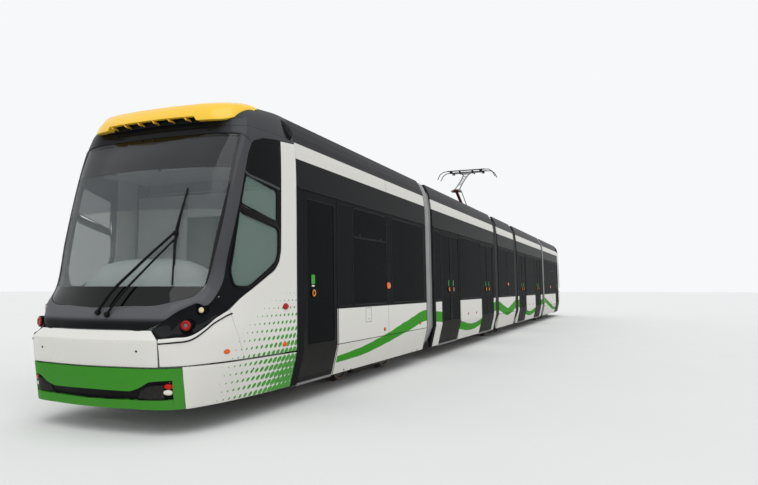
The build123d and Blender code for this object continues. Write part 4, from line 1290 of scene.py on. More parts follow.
def bolt_ring():
    """Hexagon heads on a ring round z."""
    tree = Growth("bolt_ring", {"Bolts": 6, "Ring": 0.07, "Head": 0.012})
    values = {"Vertices": tree.sizes["Bolts"], "Radius": tree.sizes["Ring"]}
    ring = tree.node("GeometryNodeMeshCircle", None, values)
    return tree.ends(ring, tree.bolt())


def bolt_row():
    """Hexagon heads in a row along y."""
    tree = Growth("bolt_row", {"Bolts": 6, "Pitch": 0.1, "Head": 0.01})
    return tree.ends(tree.line("Bolts"), tree.bolt())


def rib_row():
    """Round ribs side by side along y, each across x."""
    tree = Growth("rib_row", {"Ribs": 5, "Pitch": 0.02, "Length": 1.0, "Radius": 0.004})
    values = {"Resolution": 8, "Radius": tree.sizes["Radius"]}
    edge = tree.node("GeometryNodeCurvePrimitiveCircle", None, values)
    return tree.ends(tree.line("Ribs"), tree.swept("Length", edge))


def grown(tree, paint, **sizes):
    """The plain mesh that a tree gives with these sizes."""
    carrier = bpy.data.objects.new(f"{tree.name}_carrier", bpy.data.meshes.new(tree.name))
    bpy.context.scene.collection.objects.link(carrier)
    modifier = carrier.modifiers.new(tree.name, "NODES")
    modifier.node_group = tree
    for item in tree.interface.items_tree:
        if item.in_out == "INPUT":
            modifier[item.identifier] = PAINTS[paint] if item.name == "Paint" else sizes[item.name]
    graph = bpy.context.evaluated_depsgraph_get()
    mesh = bpy.data.meshes.new_from_object(carrier.evaluated_get(graph), depsgraph=graph)
    carrier.modifiers.clear()
    bpy.data.objects.remove(carrier)
    return mesh


class Kit:
    """Parts that ride on one body, gathered in one mesh with a paint for every face."""

    def __init__(self, name):
        self.name = name
        self.points, self.faces, self.slots, self.paints = [], [], [], []

    def add(self, points, faces, paint):
        """Adds faces in one paint, or with a list of paints, one for each face."""
        paints = [paint] * len(faces) if isinstance(paint, str) else paint
        for each in paints:
            if each not in self.paints:
                self.paints.append(each)
        start = len(self.points)
        self.points += [tuple(p) for p in points]
        self.faces += [tuple(start + k for k in face) for face in faces]
        self.slots += [self.paints.index(each) for each in paints]

    def place(self, mesh, centre, paint, axis=(0.0, 0.0, 1.0)):
        """Adds a grown mesh at a point, with its z along the axis."""
        turn = Vector((0.0, 0.0, 1.0)).rotation_difference(Vector(axis))
        points = [turn @ corner.co + Vector(centre) for corner in mesh.vertices]
        self.add(points, [tuple(face.vertices) for face in mesh.polygons], paint)

    def loft(self, rings, paint, hoop=False):
        """A skin through rings of points, with flat ends, or joined end to end as a hoop.

        A hoop may have a list of paints, one for each of its spans.
        """
        count, length = len(rings[0]), len(rings)
        if not isinstance(paint, str):
            paint = [each for each in paint for _ in range(count)]
        faces = []
        for k in range(length if hoop else length - 1):
            a, b = k * count, (k + 1) % length * count
            faces += [(a + i, a + (i + 1) % count, b + (i + 1) % count, b + i) for i in range(count)]
        if not hoop:
            faces.append(tuple(reversed(range(count))))
            faces.append(tuple(range((length - 1) * count, length * count)))
        self.add([p for ring in rings for p in ring], faces, paint)

    def plate(self, outline, side, paint, lift=0.004, thick=0.010, edge=0.0015):
        """A flat plate on the tram's side from its (y, z) outline, its rim broken."""
        my, mz = middle_of(outline)

        def ring(height, shrink):
            out = []
            for y, z in outline:
                u = 1 - shrink / math.hypot(y - my, z - mz)
                out.append((side * (skin_x(z) + height), my + (y - my) * u, mz + (z - mz) * u))
            return out

        self.loft([ring(lift - thick, 0), ring(lift - edge, 0), ring(lift, edge)], paint)

    def surround(self, outer, inner, side, paint, lift=0.004, thick=0.012, edge=0.0015):
        """A flat frame between two (y, z) outlines with equal counts."""

        def ring(outline, height):
            return [(side * (skin_x(z) + height), y, z) for y, z in outline]

        depths = (lift - thick, lift - edge, lift)
        self.loft([ring(outer, d) for d in depths] + [ring(inner, d) for d in depths[::-1]], paint, hoop=True)

    def upright(self, y0, y1, levels, side, paint, lift=0.0, thick=0.03, edge=0.003):
        """A board on the side that follows the skin through several heights."""
        rings = []
        for z in levels:
            x = skin_x(z) + lift
            rings.append([
                (side * (x - thick), y0, z), (side * (x - edge), y0, z), (side * x, y0 + edge, z),
                (side * x, y1 - edge, z), (side * (x - edge), y1, z), (side * (x - thick), y1, z),
            ])
        self.loft(rings, paint)

    def bar(self, path, radius, paint, sides=10, count=None):
        """A round bar along a path. With a count, the path is smoothed to that many points."""
        line = [Vector(p) for p in (stations(path, count) if count else path)]
        self.loft([circle(point, ahead, radius, sides) for point, ahead in zip(line, headings(line))], paint)

    def turned(self, centre, axis, profile, paint, sides=24, hoop=False):
        """A turned part: profile is rows of (distance along the axis, radius)."""
        centre, axis = Vector(centre), Vector(axis).normalized()
        rings = [circle(centre + axis * along, axis, radius, sides) for along, radius in profile]
        self.loft(rings, paint, hoop)

    def crate(self, low, high, paint, edge=0.006):
        """A box with its edges broken."""
        x0, y0, z0 = low
        x1, y1, z1 = high

        def ring(z, inset):
            e = edge + inset
            a, b, c, d = x0 + inset, x1 - inset, y0 + inset, y1 - inset
            return [(x0 + e, c, z), (x1 - e, c, z), (b, y0 + e, z), (b, y1 - e, z),
                    (x1 - e, d, z), (x0 + e, d, z), (a, y1 - e, z), (a, y0 + e, z)]

        self.loft([ring(z0, edge), ring(z0 + edge, 0), ring(z1 - edge, 0), ring(z1, edge)], paint)

    def made(self, smooth=35):
        mesh = clean_mesh(self.name, self.points, self.faces)
        mesh.polygons.foreach_set("material_index", self.slots)
        return smoothed(new_piece(self.name, mesh, *self.paints), smooth)


def settle(piece, body, replaced=()):
    """Sets a piece on its body, in the place of the frame's nodes named."""
    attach(piece, body)
    for node_name in replaced:
        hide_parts(node_name)


def at_both_ends(piece, body, replaced=()):
    """Sets the front half's piece, and the same turned round for the rear half."""
    name = piece.name
    piece.name = f"front_{name}"
    for end, part in (("front", piece), ("rear", turned(piece, f"rear_{name}"))):
        settle(part, f"{end}_{body}", [f"{end}_{node_name}" for node_name in replaced])


# Windows, doors and lights
# heights of the panes and doors, then the openings' ends on the front half
PANE_FOOT, PANE_TOP = 1.220, 2.650
DOOR_PANE_FOOT, DOOR_PANE_TOP, DOOR_TOP = 0.745, 2.602, 2.708
FRONT_DOOR, DOOR_PANE, FIRST_WINDOW = (-12.97, -12.02), (-11.96, -11.54), (-11.50, -10.18)
PILLAR_PANE, SECOND_WINDOW, SIGN_BOX = (-10.145, -9.985), (-9.95, -8.27), (-9.86, -8.62)
FRONT_BUTTON = -12.717
LINK_DOORS, LINK_DOOR = (-7.06, -3.49), 1.44
LINK_WINDOWS = ((-5.56, -3.55), (-7.56, -7.12))
CENTRE_WINDOW = (-1.21, 1.21)


def window(kit, y0, y1, side):
    """Pane flush with the wall in a slim rubber frame."""
    def shape(grow):
        return rounded(y0 - grow, y1 + grow, PANE_FOOT - grow, PANE_TOP + grow, 0.07 + grow)

    kit.plate(shape(-0.008), side, "side_glass", 0.0015, 0.008)
    kit.surround(shape(0.012), shape(-0.010), side, "rubber", 0.004, 0.014)


def printed_pane(kit, y0, y1, side, radius=0.02):
    """Narrow dark pane beside a door or a pillar."""
    kit.plate(rounded(y0, y1, PANE_FOOT - 0.005, PANE_TOP + 0.005, radius), side, "fascia", 0.0015, 0.004)


def rain_rail(kit, y0, y1, side):
    """Slim rail over the doors and windows."""
    kit.plate(rounded(y0, y1, 2.712, 2.738, 0.010, 2), side, "trim", 0.010, 0.014, 0.004)


def wall_joint(kit, y, side, half):
    """Rubber strip in the upright gap between a doorway and the wall."""
    kit.upright(y - half, y + half, (0.27, CREASE, PANEL_TOP, DOOR_TOP), side, "rubber", 0.003, 0.02, 0.002)


def hopper(kit, y0, y1, side):
    """Slim rail of a tilting upper pane, with its two catches."""
    z = 2.22
    kit.plate(rounded(y0 + 0.015, y1 - 0.015, z - 0.014, z + 0.014, 0.006, 1), side, "rubber", 0.006, 0.012)
    for y in (y0 + 0.25, y1 - 0.25):
        kit.plate(rounded(y - 0.03, y + 0.03, z + 0.02, z + 0.05, 0.008, 2), side, "trim", 0.007, 0.012)


DOOR_LEVELS = (0.290, 0.40, 0.55, CREASE, DOOR_PANE_FOOT)
RAIL_LEVELS = (DOOR_PANE_FOOT, PANEL_TOP, 1.8, 2.605)
GUARD_LEVELS = (0.292, CREASE, PANEL_TOP, 2.700)


def door_leaf(kit, y0, y1, side, stile=0.080):
    """Leaf with dark foot panel, stiles, head, long pane, finger guards and a rail inside the glass."""
    kit.upright(y0, y1, DOOR_LEVELS, side, "door_grey", -0.002, 0.030, 0.006)
    for start in (y0, y1 - stile):
        kit.upright(start, start + stile, RAIL_LEVELS, side, "door", -0.002, 0.030, 0.006)
    kit.upright(y0, y1, (2.600, DOOR_TOP), side, "door", -0.002, 0.030, 0.006)
    a, b, low, high = y0 + stile, y1 - stile, DOOR_PANE_FOOT, DOOR_PANE_TOP
    kit.upright(a, b, (low, PANEL_TOP, high), side, "side_glass", -0.006, 0.008, 0.001)
    outer = rounded(a - 0.012, b + 0.012, low - 0.010, high + 0.010, 0.030)
    inner = rounded(a + 0.004, b - 0.004, low + 0.006, high - 0.006, 0.022)
    kit.surround(outer, inner, side, "rubber", 0.001, 0.010)
    for y in (y0 - 0.001, y1 + 0.001):
        kit.upright(y - 0.004, y + 0.004, GUARD_LEVELS, side, "rubber", -0.004, 0.024, 0.001)
    kit.upright(y0 + 0.01, y1 - 0.01, (0.292, 0.335), side, "rubber", 0.002, 0.010, 0.002)
    x = skin_x(1.2) - 0.075
    for y in (y0 + stile + 0.05, y1 - stile - 0.05):
        grip = ((x + 0.04, 1.0), (x, 1.04), (x, 1.65), (x + 0.04, 1.69))
        kit.bar([(side * away, y, z) for away, z in grip], 0.014, "pole", 8)


def door_button(kit, y, side, z=1.40):
    """Round push button with a ring."""
    foot = (side * (skin_x(z) - 0.002), y, z)
    for profile, paint in (
        (((0.0, 0.052), (0.010, 0.052), (0.014, 0.048), (0.014, 0.001)), "trim"),
        (((0.012, 0.046), (0.018, 0.043), (0.018, 0.030), (0.012, 0.026)), "orange_ring"),
        (((0.010, 0.024), (0.016, 0.022), (0.018, 0.001)), "trim"),
    ):
        kit.turned(foot, (side, 0, 0), profile, paint, hoop=paint == "orange_ring")


def side_lamp(kit, y, side, z, half_y=0.034, half_z=0.020):
    """Small oval lamp on a black base."""
    def shape(grow, radius):
        return rounded(y - half_y - grow, y + half_y + grow, z - half_z - grow, z + half_z + grow, radius)

    kit.plate(shape(0.006, half_z), side, "trim", 0.006, 0.012)
    for lift, grow in ((0.012, 0.0), (0.017, -0.006)):
        kit.plate(shape(grow, half_z + grow - 0.001), side, "orange_lens", lift, 0.012, 0.004)


def cap(kit, y, side, z, radius=0.020):
    profile = ((0.0, radius), (0.006, radius), (0.009, radius * 0.8), (0.009, 0.001))
    kit.turned((side * (skin_x(z) - 0.004), y, z), (side, 0, 0), profile, "trim", 16)


def flap(kit, y0, y1, z0, z1, side):
    """Service flap standing just off the panel, with its lock."""
    outer = rounded(y0, y1, z0, z1, 0.020)
    inner = rounded(y0 + 0.005, y1 - 0.005, z0 + 0.005, z1 - 0.005, 0.016)
    kit.surround(outer, inner, side, "rubber", 0.0012, 0.006, 0.0004)
    cap(kit, (y0 + y1) / 2, side, z0 + 0.05, 0.009)


def sill(kit, y0, y1, side):
    """Ribbed step edge under a door."""
    x = skin_x(0.27) - 0.006
    low, high = sorted((side * (x - 0.12), side * x))
    kit.crate((low, y0, 0.245), (high, y1, 0.283), "sill", 0.004)
    ribs = grown(TREES["rib_row"], "sill", Ribs=5, Pitch=0.018, Length=y1 - y0 - 0.04, Radius=0.0035)
    for corner in ribs.vertices:
        along, off, up = corner.co
        corner.co = (side * (x - 0.02 - off), (y0 + y1) / 2 + along, 0.284 + up)
    kit.place(ribs, (0.0, 0.0, 0.0), "sill")


def front_car_sides():
    kit = Kit("side_windows")
    doors = Kit("door_leaves")
    trim = Kit("side_trim")
    for side in (1, -1):
        window(kit, *FIRST_WINDOW, side)
        hopper(kit, *FIRST_WINDOW, side)
        window(kit, *SECOND_WINDOW, side)
        # narrow printed panes beside the door and the pillar, and the blank sign box behind the glass
        printed_pane(kit, *DOOR_PANE, side, 0.03)
        printed_pane(kit, *PILLAR_PANE, side)
        y0, y1 = DOOR_PANE
        outer = rounded(y0 - 0.005, y1 + 0.005, PANE_FOOT - 0.010, PANE_TOP + 0.010, 0.035)
        inner = rounded(y0 + 0.005, y1 - 0.005, PANE_FOOT, PANE_TOP, 0.025)
        kit.surround(outer, inner, side, "rubber", 0.003, 0.006, 0.0005)
        low, high = sorted((side * 1.20, side * 1.262))
        y0, y1 = SIGN_BOX
        kit.crate((low, y0, 2.20), (high, y1, 2.60), "trim", 0.01)
        kit.plate(rounded(y0 + 0.03, y1 - 0.03, 2.23, 2.57, 0.01), side, "fascia", -0.030, 0.004)
        door_leaf(doors, FRONT_DOOR[0] + 0.005, FRONT_DOOR[1] - 0.005, side, 0.090)
        door_button(trim, FRONT_BUTTON, side)
        for half, z0, z1, radius, steps, paint in (
            (0.045, 1.515, 1.635, 0.010, 2, "green_pad"), (0.035, 1.482, 1.502, 0.006, 1, "white_lens"),
        ):
            pad = rounded(FRONT_BUTTON - half, FRONT_BUTTON + half, z0, z1, radius, steps)
            trim.plate(pad, side, paint, 0.001, 0.004)
        sill(trim, *FRONT_DOOR, side)
        rain_rail(trim, -13.10, -8.14, side)
        flap(trim, -11.06, -10.84, 0.940, 1.160, side)
        side_lamp(trim, -10.297, side, 0.790)
        side_lamp(trim, -8.519, side, 0.800)
        side_lamp(trim, -10.118, side, 1.504, 0.078, 0.052)
        for y, z in ((-11.65, 0.295), (-11.40, 0.27), (-8.73, 0.27), (-8.46, 0.285)):
            cap(trim, y, side, z, 0.014)
        for y in (-13.125, -12.000):
            wall_joint(trim, y, side, 0.008)
    at_both_ends(kit.made(), "car")
    at_both_ends(doors.made(), "car", ("doors",))
    at_both_ends(trim.made(), "car")


def link_car_sides():
    kit = Kit("link_windows")
    doors = Kit("link_door_leaves")
    trim = Kit("link_trim")
    for side in (1, -1):
        for ends in LINK_WINDOWS:
            window(kit, *ends, side)
        printed_pane(kit, -2.00, -1.82, side)
        for start in LINK_DOORS:
            middle = start + LINK_DOOR / 2
            door_leaf(doors, start + 0.005, middle - 0.003, side, 0.070)
            door_leaf(doors, middle + 0.003, start + LINK_DOOR - 0.005, side, 0.070)
            for y in (middle - 0.20, middle + 0.15):
                door_button(trim, y, side, 1.43)
                pad = rounded(y - 0.022, y + 0.022, 1.50, 1.63, 0.006, 1)
                trim.plate(pad, side, "green_pad", 0.001, 0.004)
            sill(trim, start, start + LINK_DOOR, side)
        rain_rail(trim, -7.62, -1.80, side)
        for y in (-4.916, -4.115):
            side_lamp(trim, y, side, 0.838, 0.026, 0.018)
        beside = [y for start in LINK_DOORS for y in (start - 0.015, start + LINK_DOOR + 0.015)]
        for y in (-7.52, *beside):
            wall_joint(trim, y, side, 0.007)
    at_both_ends(kit.made(), "link_car", ("link_glass",))
    at_both_ends(doors.made(), "link_car", ("link_doors",))
    at_both_ends(trim.made(), "link_car")


def centre_car_sides():
    kit = Kit("centre_windows")
    for side in (1, -1):
        window(kit, *CENTRE_WINDOW, side)
        rain_rail(kit, -1.28, 1.28, side)
        side_lamp(kit, side * 0.112, side, 1.578, 0.070, 0.048)
        for y in (-0.012, 0.012):
            kit.upright(y - 0.005, y + 0.005, (1.22, 2.65), side, "rubber", 0.004, 0.014, 0.001)
    settle(kit.made(), "centre_car", ("centre_glass",))


# Bellows between the cars
BELLOWS = (
    (1.000, 0.440), (1.040, 0.340), (1.090, 0.335), (1.160, 0.40), (1.215, 0.52), (1.285, CREASE),
    (1.278, PANEL_TOP), (1.265, 1.9), (1.250, GLASS_TOP), (1.235, STRIPE_LOW), (1.206, STRIPE_TOP),
    (1.176, 3.40), (1.128, 3.50), (1.04, 3.57),
)
# the pale hoops: way from one car to the other, distance out from the outline
BAND = (
    (0.0, -0.045), (0.02, -0.008), (0.05, 0.018), (0.17, 0.024), (0.185, 0.002), (0.205, 0.002),
    (0.22, 0.026), (0.36, 0.030), (0.375, 0.010), (0.39, 0.010), (0.405, 0.030), (0.56, 0.030),
    (0.64, 0.022), (0.69, 0.0), (0.70, -0.045),
)
FOLD_FOOT = -0.045


def bellows(name, y0, y1, band, bodies, node_name):
    """Folded cover between two cars: a pale padded hoop if it has one, then dark narrow folds."""
    steps = [(t, out, "bellows") for t, out in BAND] if band else [(0.0, FOLD_FOOT, "bellows_dark")]
    start = steps[-1][0]
    points = 16 if band else 36
    for k in range(1, points + 1):
        out = FOLD_FOOT + 0.040 * math.sin(math.pi * k / 2.0 - math.pi / 4) ** 2
        steps.append((start + (1.0 - start) * k / points, out, "bellows_dark"))
    outline = stations(BELLOWS, 44, False)
    outline += [(-x, z) for x, z in reversed(outline)]
    rings = []
    for t, out, _ in steps:
        y = y0 + (y1 - y0) * t
        rings.append([(x + math.copysign(out, x) * min(1.0, abs(x)), y, z + out * (z > 3.45))
                      for x, z in outline])
    # the passage's lining
    for y in (y1, y0):
        rings.append([(x * 0.93, y, 0.47 + (z - 0.44) * 0.965 if z > 0.47 else 0.47) for x, z in outline])
    kit = Kit(name)
    kit.loft(rings, [paint for _, _, paint in steps[1:]] + ["bellows_dark"] * 3, hoop=True)
    piece = kit.made(25)
    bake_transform(piece)
    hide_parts(node_name)


def all_bellows():
    """Rows of name, ends, whether it has the pale hoop, bodies and the node it replaces."""
    for row in (
        ("bellows_1", -8.116, -7.644, True, ("front_car", "front_link_car"), "gangway_1"),
        ("bellows_2", -1.776, -1.304, False, ("front_link_car", "centre_car"), "gangway_2"),
        ("bellows_3", 1.776, 1.304, False, ("rear_link_car", "centre_car"), "gangway_3"),
        ("bellows_4", 8.116, 7.644, True, ("rear_car", "rear_link_car"), "gangway_4"),
    ):
        bellows(*row)


# Inside
# a seat's sections: way along, half width, heights below and above; then height, half width, way back
SEAT_PAD = (
    (-0.22, 0.16, 0.415, 0.435), (-0.20, 0.20, 0.405, 0.450), (0.0, 0.215, 0.395, 0.440),
    (0.18, 0.21, 0.400, 0.452), (0.215, 0.19, 0.410, 0.440),
)
SEAT_TOP = ((-1, 0), (-0.9, 0.012), (0, -0.012), (0.9, 0.012), (1, 0))
SEAT_UNDER = ((0.8, 0), (0, -0.012), (-0.8, 0))
SEAT_BACK = (
    (0.44, 0.19, 0.175), (0.50, 0.21, 0.185), (0.75, 0.215, 0.205), (0.93, 0.19, 0.215), (1.00, 0.13, 0.212),
)
SEAT_GRIP = ((-0.16, 0.215, 0.95), (-0.14, 0.225, 1.02), (0.14, 0.225, 1.02), (0.16, 0.215, 0.95))


def shell_seat(kit, x, y, z, face):
    """Moulded seat: dished pad, curved back with a grip, and a foot. It looks along y by face."""
    rings = []
    for along, half, low, high in SEAT_PAD:
        ring = [(share, high + rise) for share, rise in SEAT_TOP]
        ring += [(share, low + rise) for share, rise in SEAT_UNDER]
        rings.append([(x + share * half, y + face * along, z + up) for share, up in ring])
    kit.loft(rings, "seat")
    rings = []
    for up, half, back in SEAT_BACK:
        ring = ((-half, 0.020), (0, 0), (half, 0.020), (half, 0.002), (0, -0.022), (-half, 0.002))
        rings.append([(x + across, y - face * (back - ahead), z + up) for across, ahead in ring])
    kit.loft(rings, "seat")
    kit.bar([(x + across, y - face * back, z + up) for across, back, up in SEAT_GRIP], 0.012, "pole", 8)
    kit.bar([(x, y, z + 0.40), (x, y, z + 0.10), (x, y, z + 0.004)], 0.035, "sill", 10)


def seats(kit, rows, floor):
    """Pairs of seats at rows of (y, way they face)."""
    for y, face in rows:
        for x in (-0.92, 0.92):
            shell_seat(kit, x, y, floor, face)


def grab_poles(kit, half, ys, floor, y0, y1):
    """Upright poles on both sides of the passage, and a rail along each side overhead."""
    tall = CEILING + 0.005 - floor
    profile = [(0.0, 0.035), (0.012, 0.033), (0.02, 0.017)]
    profile += [(tall, 0.017), (tall + 0.005, 0.033), (tall + 0.017, 0.035)]
    for x in (-half, half):
        for y in ys:
            kit.turned((x, y, floor), (0, 0, 1), profile, "pole", 12)
        kit.bar([(x, y0, 2.20), (x, y1, 2.20)], 0.015, "pole", 8)


def floor_cover(kit, rows):
    """Floor covering along rows of (y, height, half width from there on)."""
    for (y0, z0, half), (y1, z1, _) in zip(rows, rows[1:]):
        kit.loft([[(-half, y, z), (half, y, z), (half, y, z + 0.004), (-half, y, z + 0.004)]
                  for y, z in ((y0, z0), (y1, z1))], "floor_cover")


def ceiling(kit, y0, y1):
    kit.crate((-1.17, y0, CEILING), (1.17, y1, CEILING + 0.020), "lining", 0.004)


# heights of the low floor, of the raised floor over the bogies, of the seats' boxes there, and of the ceiling
LOW_FLOOR, HIGH_FLOOR, SEAT_BOX, CEILING = 0.387, 0.502, 0.722, 2.740
# the desk: its sections as (y, z), and for each place across, its way back
CONSOLE = (
    (-14.60, 1.30), (-14.56, 1.40), (-14.40, 1.44), (-14.16, 1.30), (-14.10, 1.18), (-14.14, 1.10),
    (-14.38, 0.98), (-14.46, 0.57), (-14.56, 0.57),
)
CONSOLE_SECTIONS = ((-0.92, 0.16), (-0.84, 0.05), (-0.5, 0.0), (0.5, 0.0), (0.84, 0.05), (0.92, 0.16))
# the hood on it, and for each place across on the right, its share of the full height and its way back
DESK_TOP = 1.40
DESK_HOOD = (
    (-14.50, 1.40), (-14.47, 1.58), (-14.42, 1.70), (-14.33, 1.775), (-14.22, 1.80), (-14.13, 1.765),
    (-14.09, 1.69), (-14.11, 1.36),
)
HOOD_SECTIONS = (
    (0.18, 1.0, 0.0), (0.38, 0.98, 0.0), (0.56, 0.91, 0.015), (0.70, 0.78, 0.04), (0.81, 0.58, 0.08),
    (0.88, 0.34, 0.12), (0.92, 0.10, 0.16),
)
# the headrest, the cab's rear wall with its door, and its ceiling: low and high corners, paint, broken edge
CAB_BOARDS = (
    ((-0.17, -13.49, 1.50), (0.17, -13.43, 1.74), "desk", 0.03),
    ((-1.17, -13.20, 0.39), (-0.34, -13.165, 2.70), "lining", 0.005),
    ((0.34, -13.20, 0.39), (1.17, -13.165, 2.70), "lining", 0.005),
    ((-0.335, -13.195, 0.39), (0.335, -13.17, 1.20), "lining", 0.005),
    ((-0.335, -13.190, 1.20), (0.335, -13.175, 2.40), "side_glass", 0.003),
    ((-0.335, -13.195, 2.40), (0.335, -13.17, 2.70), "lining", 0.005),
    ((-1.05, -13.95, 2.86), (1.05, -13.20, 2.88), "lining", 0.004),
)


def front_car_inside():
    kit = Kit("interior_fittings")
    # cab: floor, desk with its hood and screens, seat, rear wall and ceiling, sun blinds' rails
    kit.crate((-0.90, -14.48, 0.562), (0.90, -13.31, 0.566), "floor_cover", 0.001)
    kit.loft([[(x, y + back, z) for y, z in CONSOLE] for x, back in CONSOLE_SECTIONS], "desk")
    sections = [(-x, tall, back) for x, tall, back in reversed(HOOD_SECTIONS)] + list(HOOD_SECTIONS)
    kit.loft([[(x, y + back, DESK_TOP + (z - DESK_TOP) * tall) for y, z in DESK_HOOD]
              for x, tall, back in sections], "desk")
    for x in (-0.28, 0.0, 0.28):
        kit.crate((x - 0.12, -14.12, 1.46), (x + 0.12, -14.07, 1.62), "trim", 0.008)
    shell_seat(kit, 0.0, -13.62, 0.566, -1)
    for board in CAB_BOARDS:
        kit.crate(*board)
    for x in (-0.35, 0.35):
        kit.bar([(x - 0.30, -14.10, 2.86), (x + 0.30, -14.10, 2.86)], 0.025, "desk", 10)
    # saloon
    floor_cover(kit, ((-13.12, LOW_FLOOR, 1.18), (-12.0, LOW_FLOOR, 1.18), (-11.5, HIGH_FLOOR, 0.595),
                      (-8.125, HIGH_FLOOR, 0.595)))
    seats(kit, ((-11.06, 1), (-10.30, -1), (-9.70, 1), (-8.94, -1)), SEAT_BOX)
    grab_poles(kit, 0.48, (-11.40, -8.50), HIGH_FLOOR + 0.004, -12.0, -8.3)
    ceiling(kit, -13.10, -8.13)
    at_both_ends(kit.made(), "car", ("interior",))


def link_car_inside():
    kit = Kit("link_interior_fittings")
    floor_cover(kit, ((-7.63, HIGH_FLOOR, 1.18), (-7.15, LOW_FLOOR, 1.18), (-2.27, LOW_FLOOR, 1.18),
                      (-1.79, HIGH_FLOOR, 1.18)))
    seats(kit, ((-5.25, 1), (-4.40, -1)), LOW_FLOOR + 0.004)
    grab_poles(kit, 0.56, (-7.0, -5.5, -3.9, -2.4), LOW_FLOOR + 0.008, -7.0, -2.4)
    ceiling(kit, -7.62, -1.80)
    at_both_ends(kit.made(), "link_car", ("link_interior",))


def centre_car_inside():
    kit = Kit("centre_interior_fittings")
    kit.crate((-0.595, -1.29, HIGH_FLOOR), (0.595, 1.29, HIGH_FLOOR + 0.004), "floor_cover", 0.001)
    seats(kit, ((-0.65, 1), (0.65, -1)), SEAT_BOX)
    ceiling(kit, -1.29, 1.29)
    settle(kit.made(), "centre_car", ("centre_interior",))


# Roof gear
# the roof containers (ends, half width, top), and the ends of the ducts beside them
CRATES = {
    "car": ((-12.9, -11.9, 0.90, 3.570), (-11.5, -9.7, 0.90, 3.600), (-9.5, -8.6, 0.80, 3.540)),
    "link_car": ((-7.0, -5.4, 0.90, 3.600), (-5.1, -3.7, 0.85, 3.550), (-3.5, -2.6, 0.90, 3.580)),
}
DUCTS = {"car": (-12.9, -8.2), "link_car": (-7.5, -1.9)}


def lid_fans(kit, y0, y1, lid):
    for share in (0.28, 0.72):
        for x in (-0.42, 0.42):
            fan_guard(kit, x, y0 + (y1 - y0) * share, lid)


def lid_louvres(kit, y0, run, half, lid):
    count = int(run / 0.06)
    sizes = {"Slats": count, "Pitch": run / count, "Width": half * 0.74, "Depth": 0.036, "Tilt": 0.45}
    slats = grown(TREES["slat_row"], "sill", **sizes)
    for x in (-half * 0.44, half * 0.44):
        kit.place(slats, (x, y0 + 0.10, lid + 0.008), "sill")


def roof_gear():
    """Lids with bolts and rails, louvres or fans, and cable ducts on the roof containers."""
    for body, rows in CRATES.items():
        kit = Kit(f"{body}_roof_gear")
        for number, (y0, y1, half, top) in enumerate(rows):
            lid, rim = top + 0.014, 0.008
            kit.crate((-half - rim, y0 - rim, top - 0.05), (half + rim, y1 + rim, lid), "crate", 0.010)
            run = y1 - y0 - 0.16
            bolts = grown(TREES["bolt_row"], "sill", Bolts=6, Pitch=run / 5, Head=0.013)
            for x in (-half + 0.05, half - 0.05):
                kit.place(bolts, (x, y0 + 0.08, lid), "sill")
                kit.bar([(x * 0.93, y0 + 0.06, lid), (x * 0.93, y1 - 0.06, lid)], 0.007, "crate", 8)
            if number == 1:
                lid_fans(kit, y0, y1, lid)
            else:
                lid_louvres(kit, y0, run, half, lid)
        y0, y1 = DUCTS[body]
        for x in (-1.02, 1.02):
            kit.crate((x - 0.03, y0, 3.18), (x + 0.03, y1, 3.24), "crate", 0.006)
        at_both_ends(kit.made(), body)


# a fan's rim, bed and hub: rows of (height, radius), paint, sides, whether it is a hoop
FAN_PARTS = (
    (((-0.004, 0.315), (0.020, 0.315), (0.020, 0.300), (-0.004, 0.296)), "sill", 32, True),
    (((-0.004, 0.296), (0.001, 0.296), (0.001, 0.01)), "trim", 32, False),
    (((0.0, 0.06), (0.014, 0.055), (0.017, 0.01)), "sill", 20, False),
)
# a blade's corners: way out, way round, height
BLADE = ((0.05, -0.02, 0.004), (0.05, 0.02, 0.010), (0.28, 0.07, 0.010), (0.28, -0.03, 0.004))


def fan_guard(kit, x, y, z):
    """Fan under a wire guard with rings and spokes."""
    centre, up = Vector((x, y, z)), Vector((0, 0, 1))
    for part in FAN_PARTS:
        kit.turned(centre, up, *part)
    for a in turns(7):
        out, over = Vector((math.cos(a), math.sin(a), 0.0)), Vector((-math.sin(a), math.cos(a), 0.0))
        ring = [centre + out * far + over * off + up * rise for far, off, rise in BLADE]
        kit.loft([ring, [p + up * 0.002 for p in ring]], "sill")
    wires = centre + up * 0.018
    for radius in (0.24, 0.18, 0.12):
        profile = ((-0.002, radius), (0.002, radius), (0.002, radius - 0.004), (-0.002, radius - 0.004))
        kit.turned(wires, up, profile, "sill", 32, True)
    for angle in (0.0, 1.047, 2.094):
        spoke = Vector((math.cos(angle), math.sin(angle), 0.0)) * 0.30
        kit.bar([wires - spoke, wires + spoke], 0.0025, "sill", 6)


# the collector's knee and head pivots (along the tram, height), and its two contact strips' places along
KNEE = (-1.170, 4.460)
HEAD = (0.170, 5.250)
STRIP_ROWS = (0.0, 0.34)


def coil_spring(kit, foot, run, over, radius, loops, steps, wire, paint):
    """A coil from its foot along run, wound from x towards the direction over."""
    foot, run, over, across = Vector(foot), Vector(run), Vector(over), Vector((1, 0, 0))
    path = []
    for k in range(steps + 1):
        a = 2 * math.pi * loops * k / steps
        path.append(foot + run * (k / steps) + (across * math.cos(a) + over * math.sin(a)) * radius)
    kit.bar(path, wire, paint, 6)


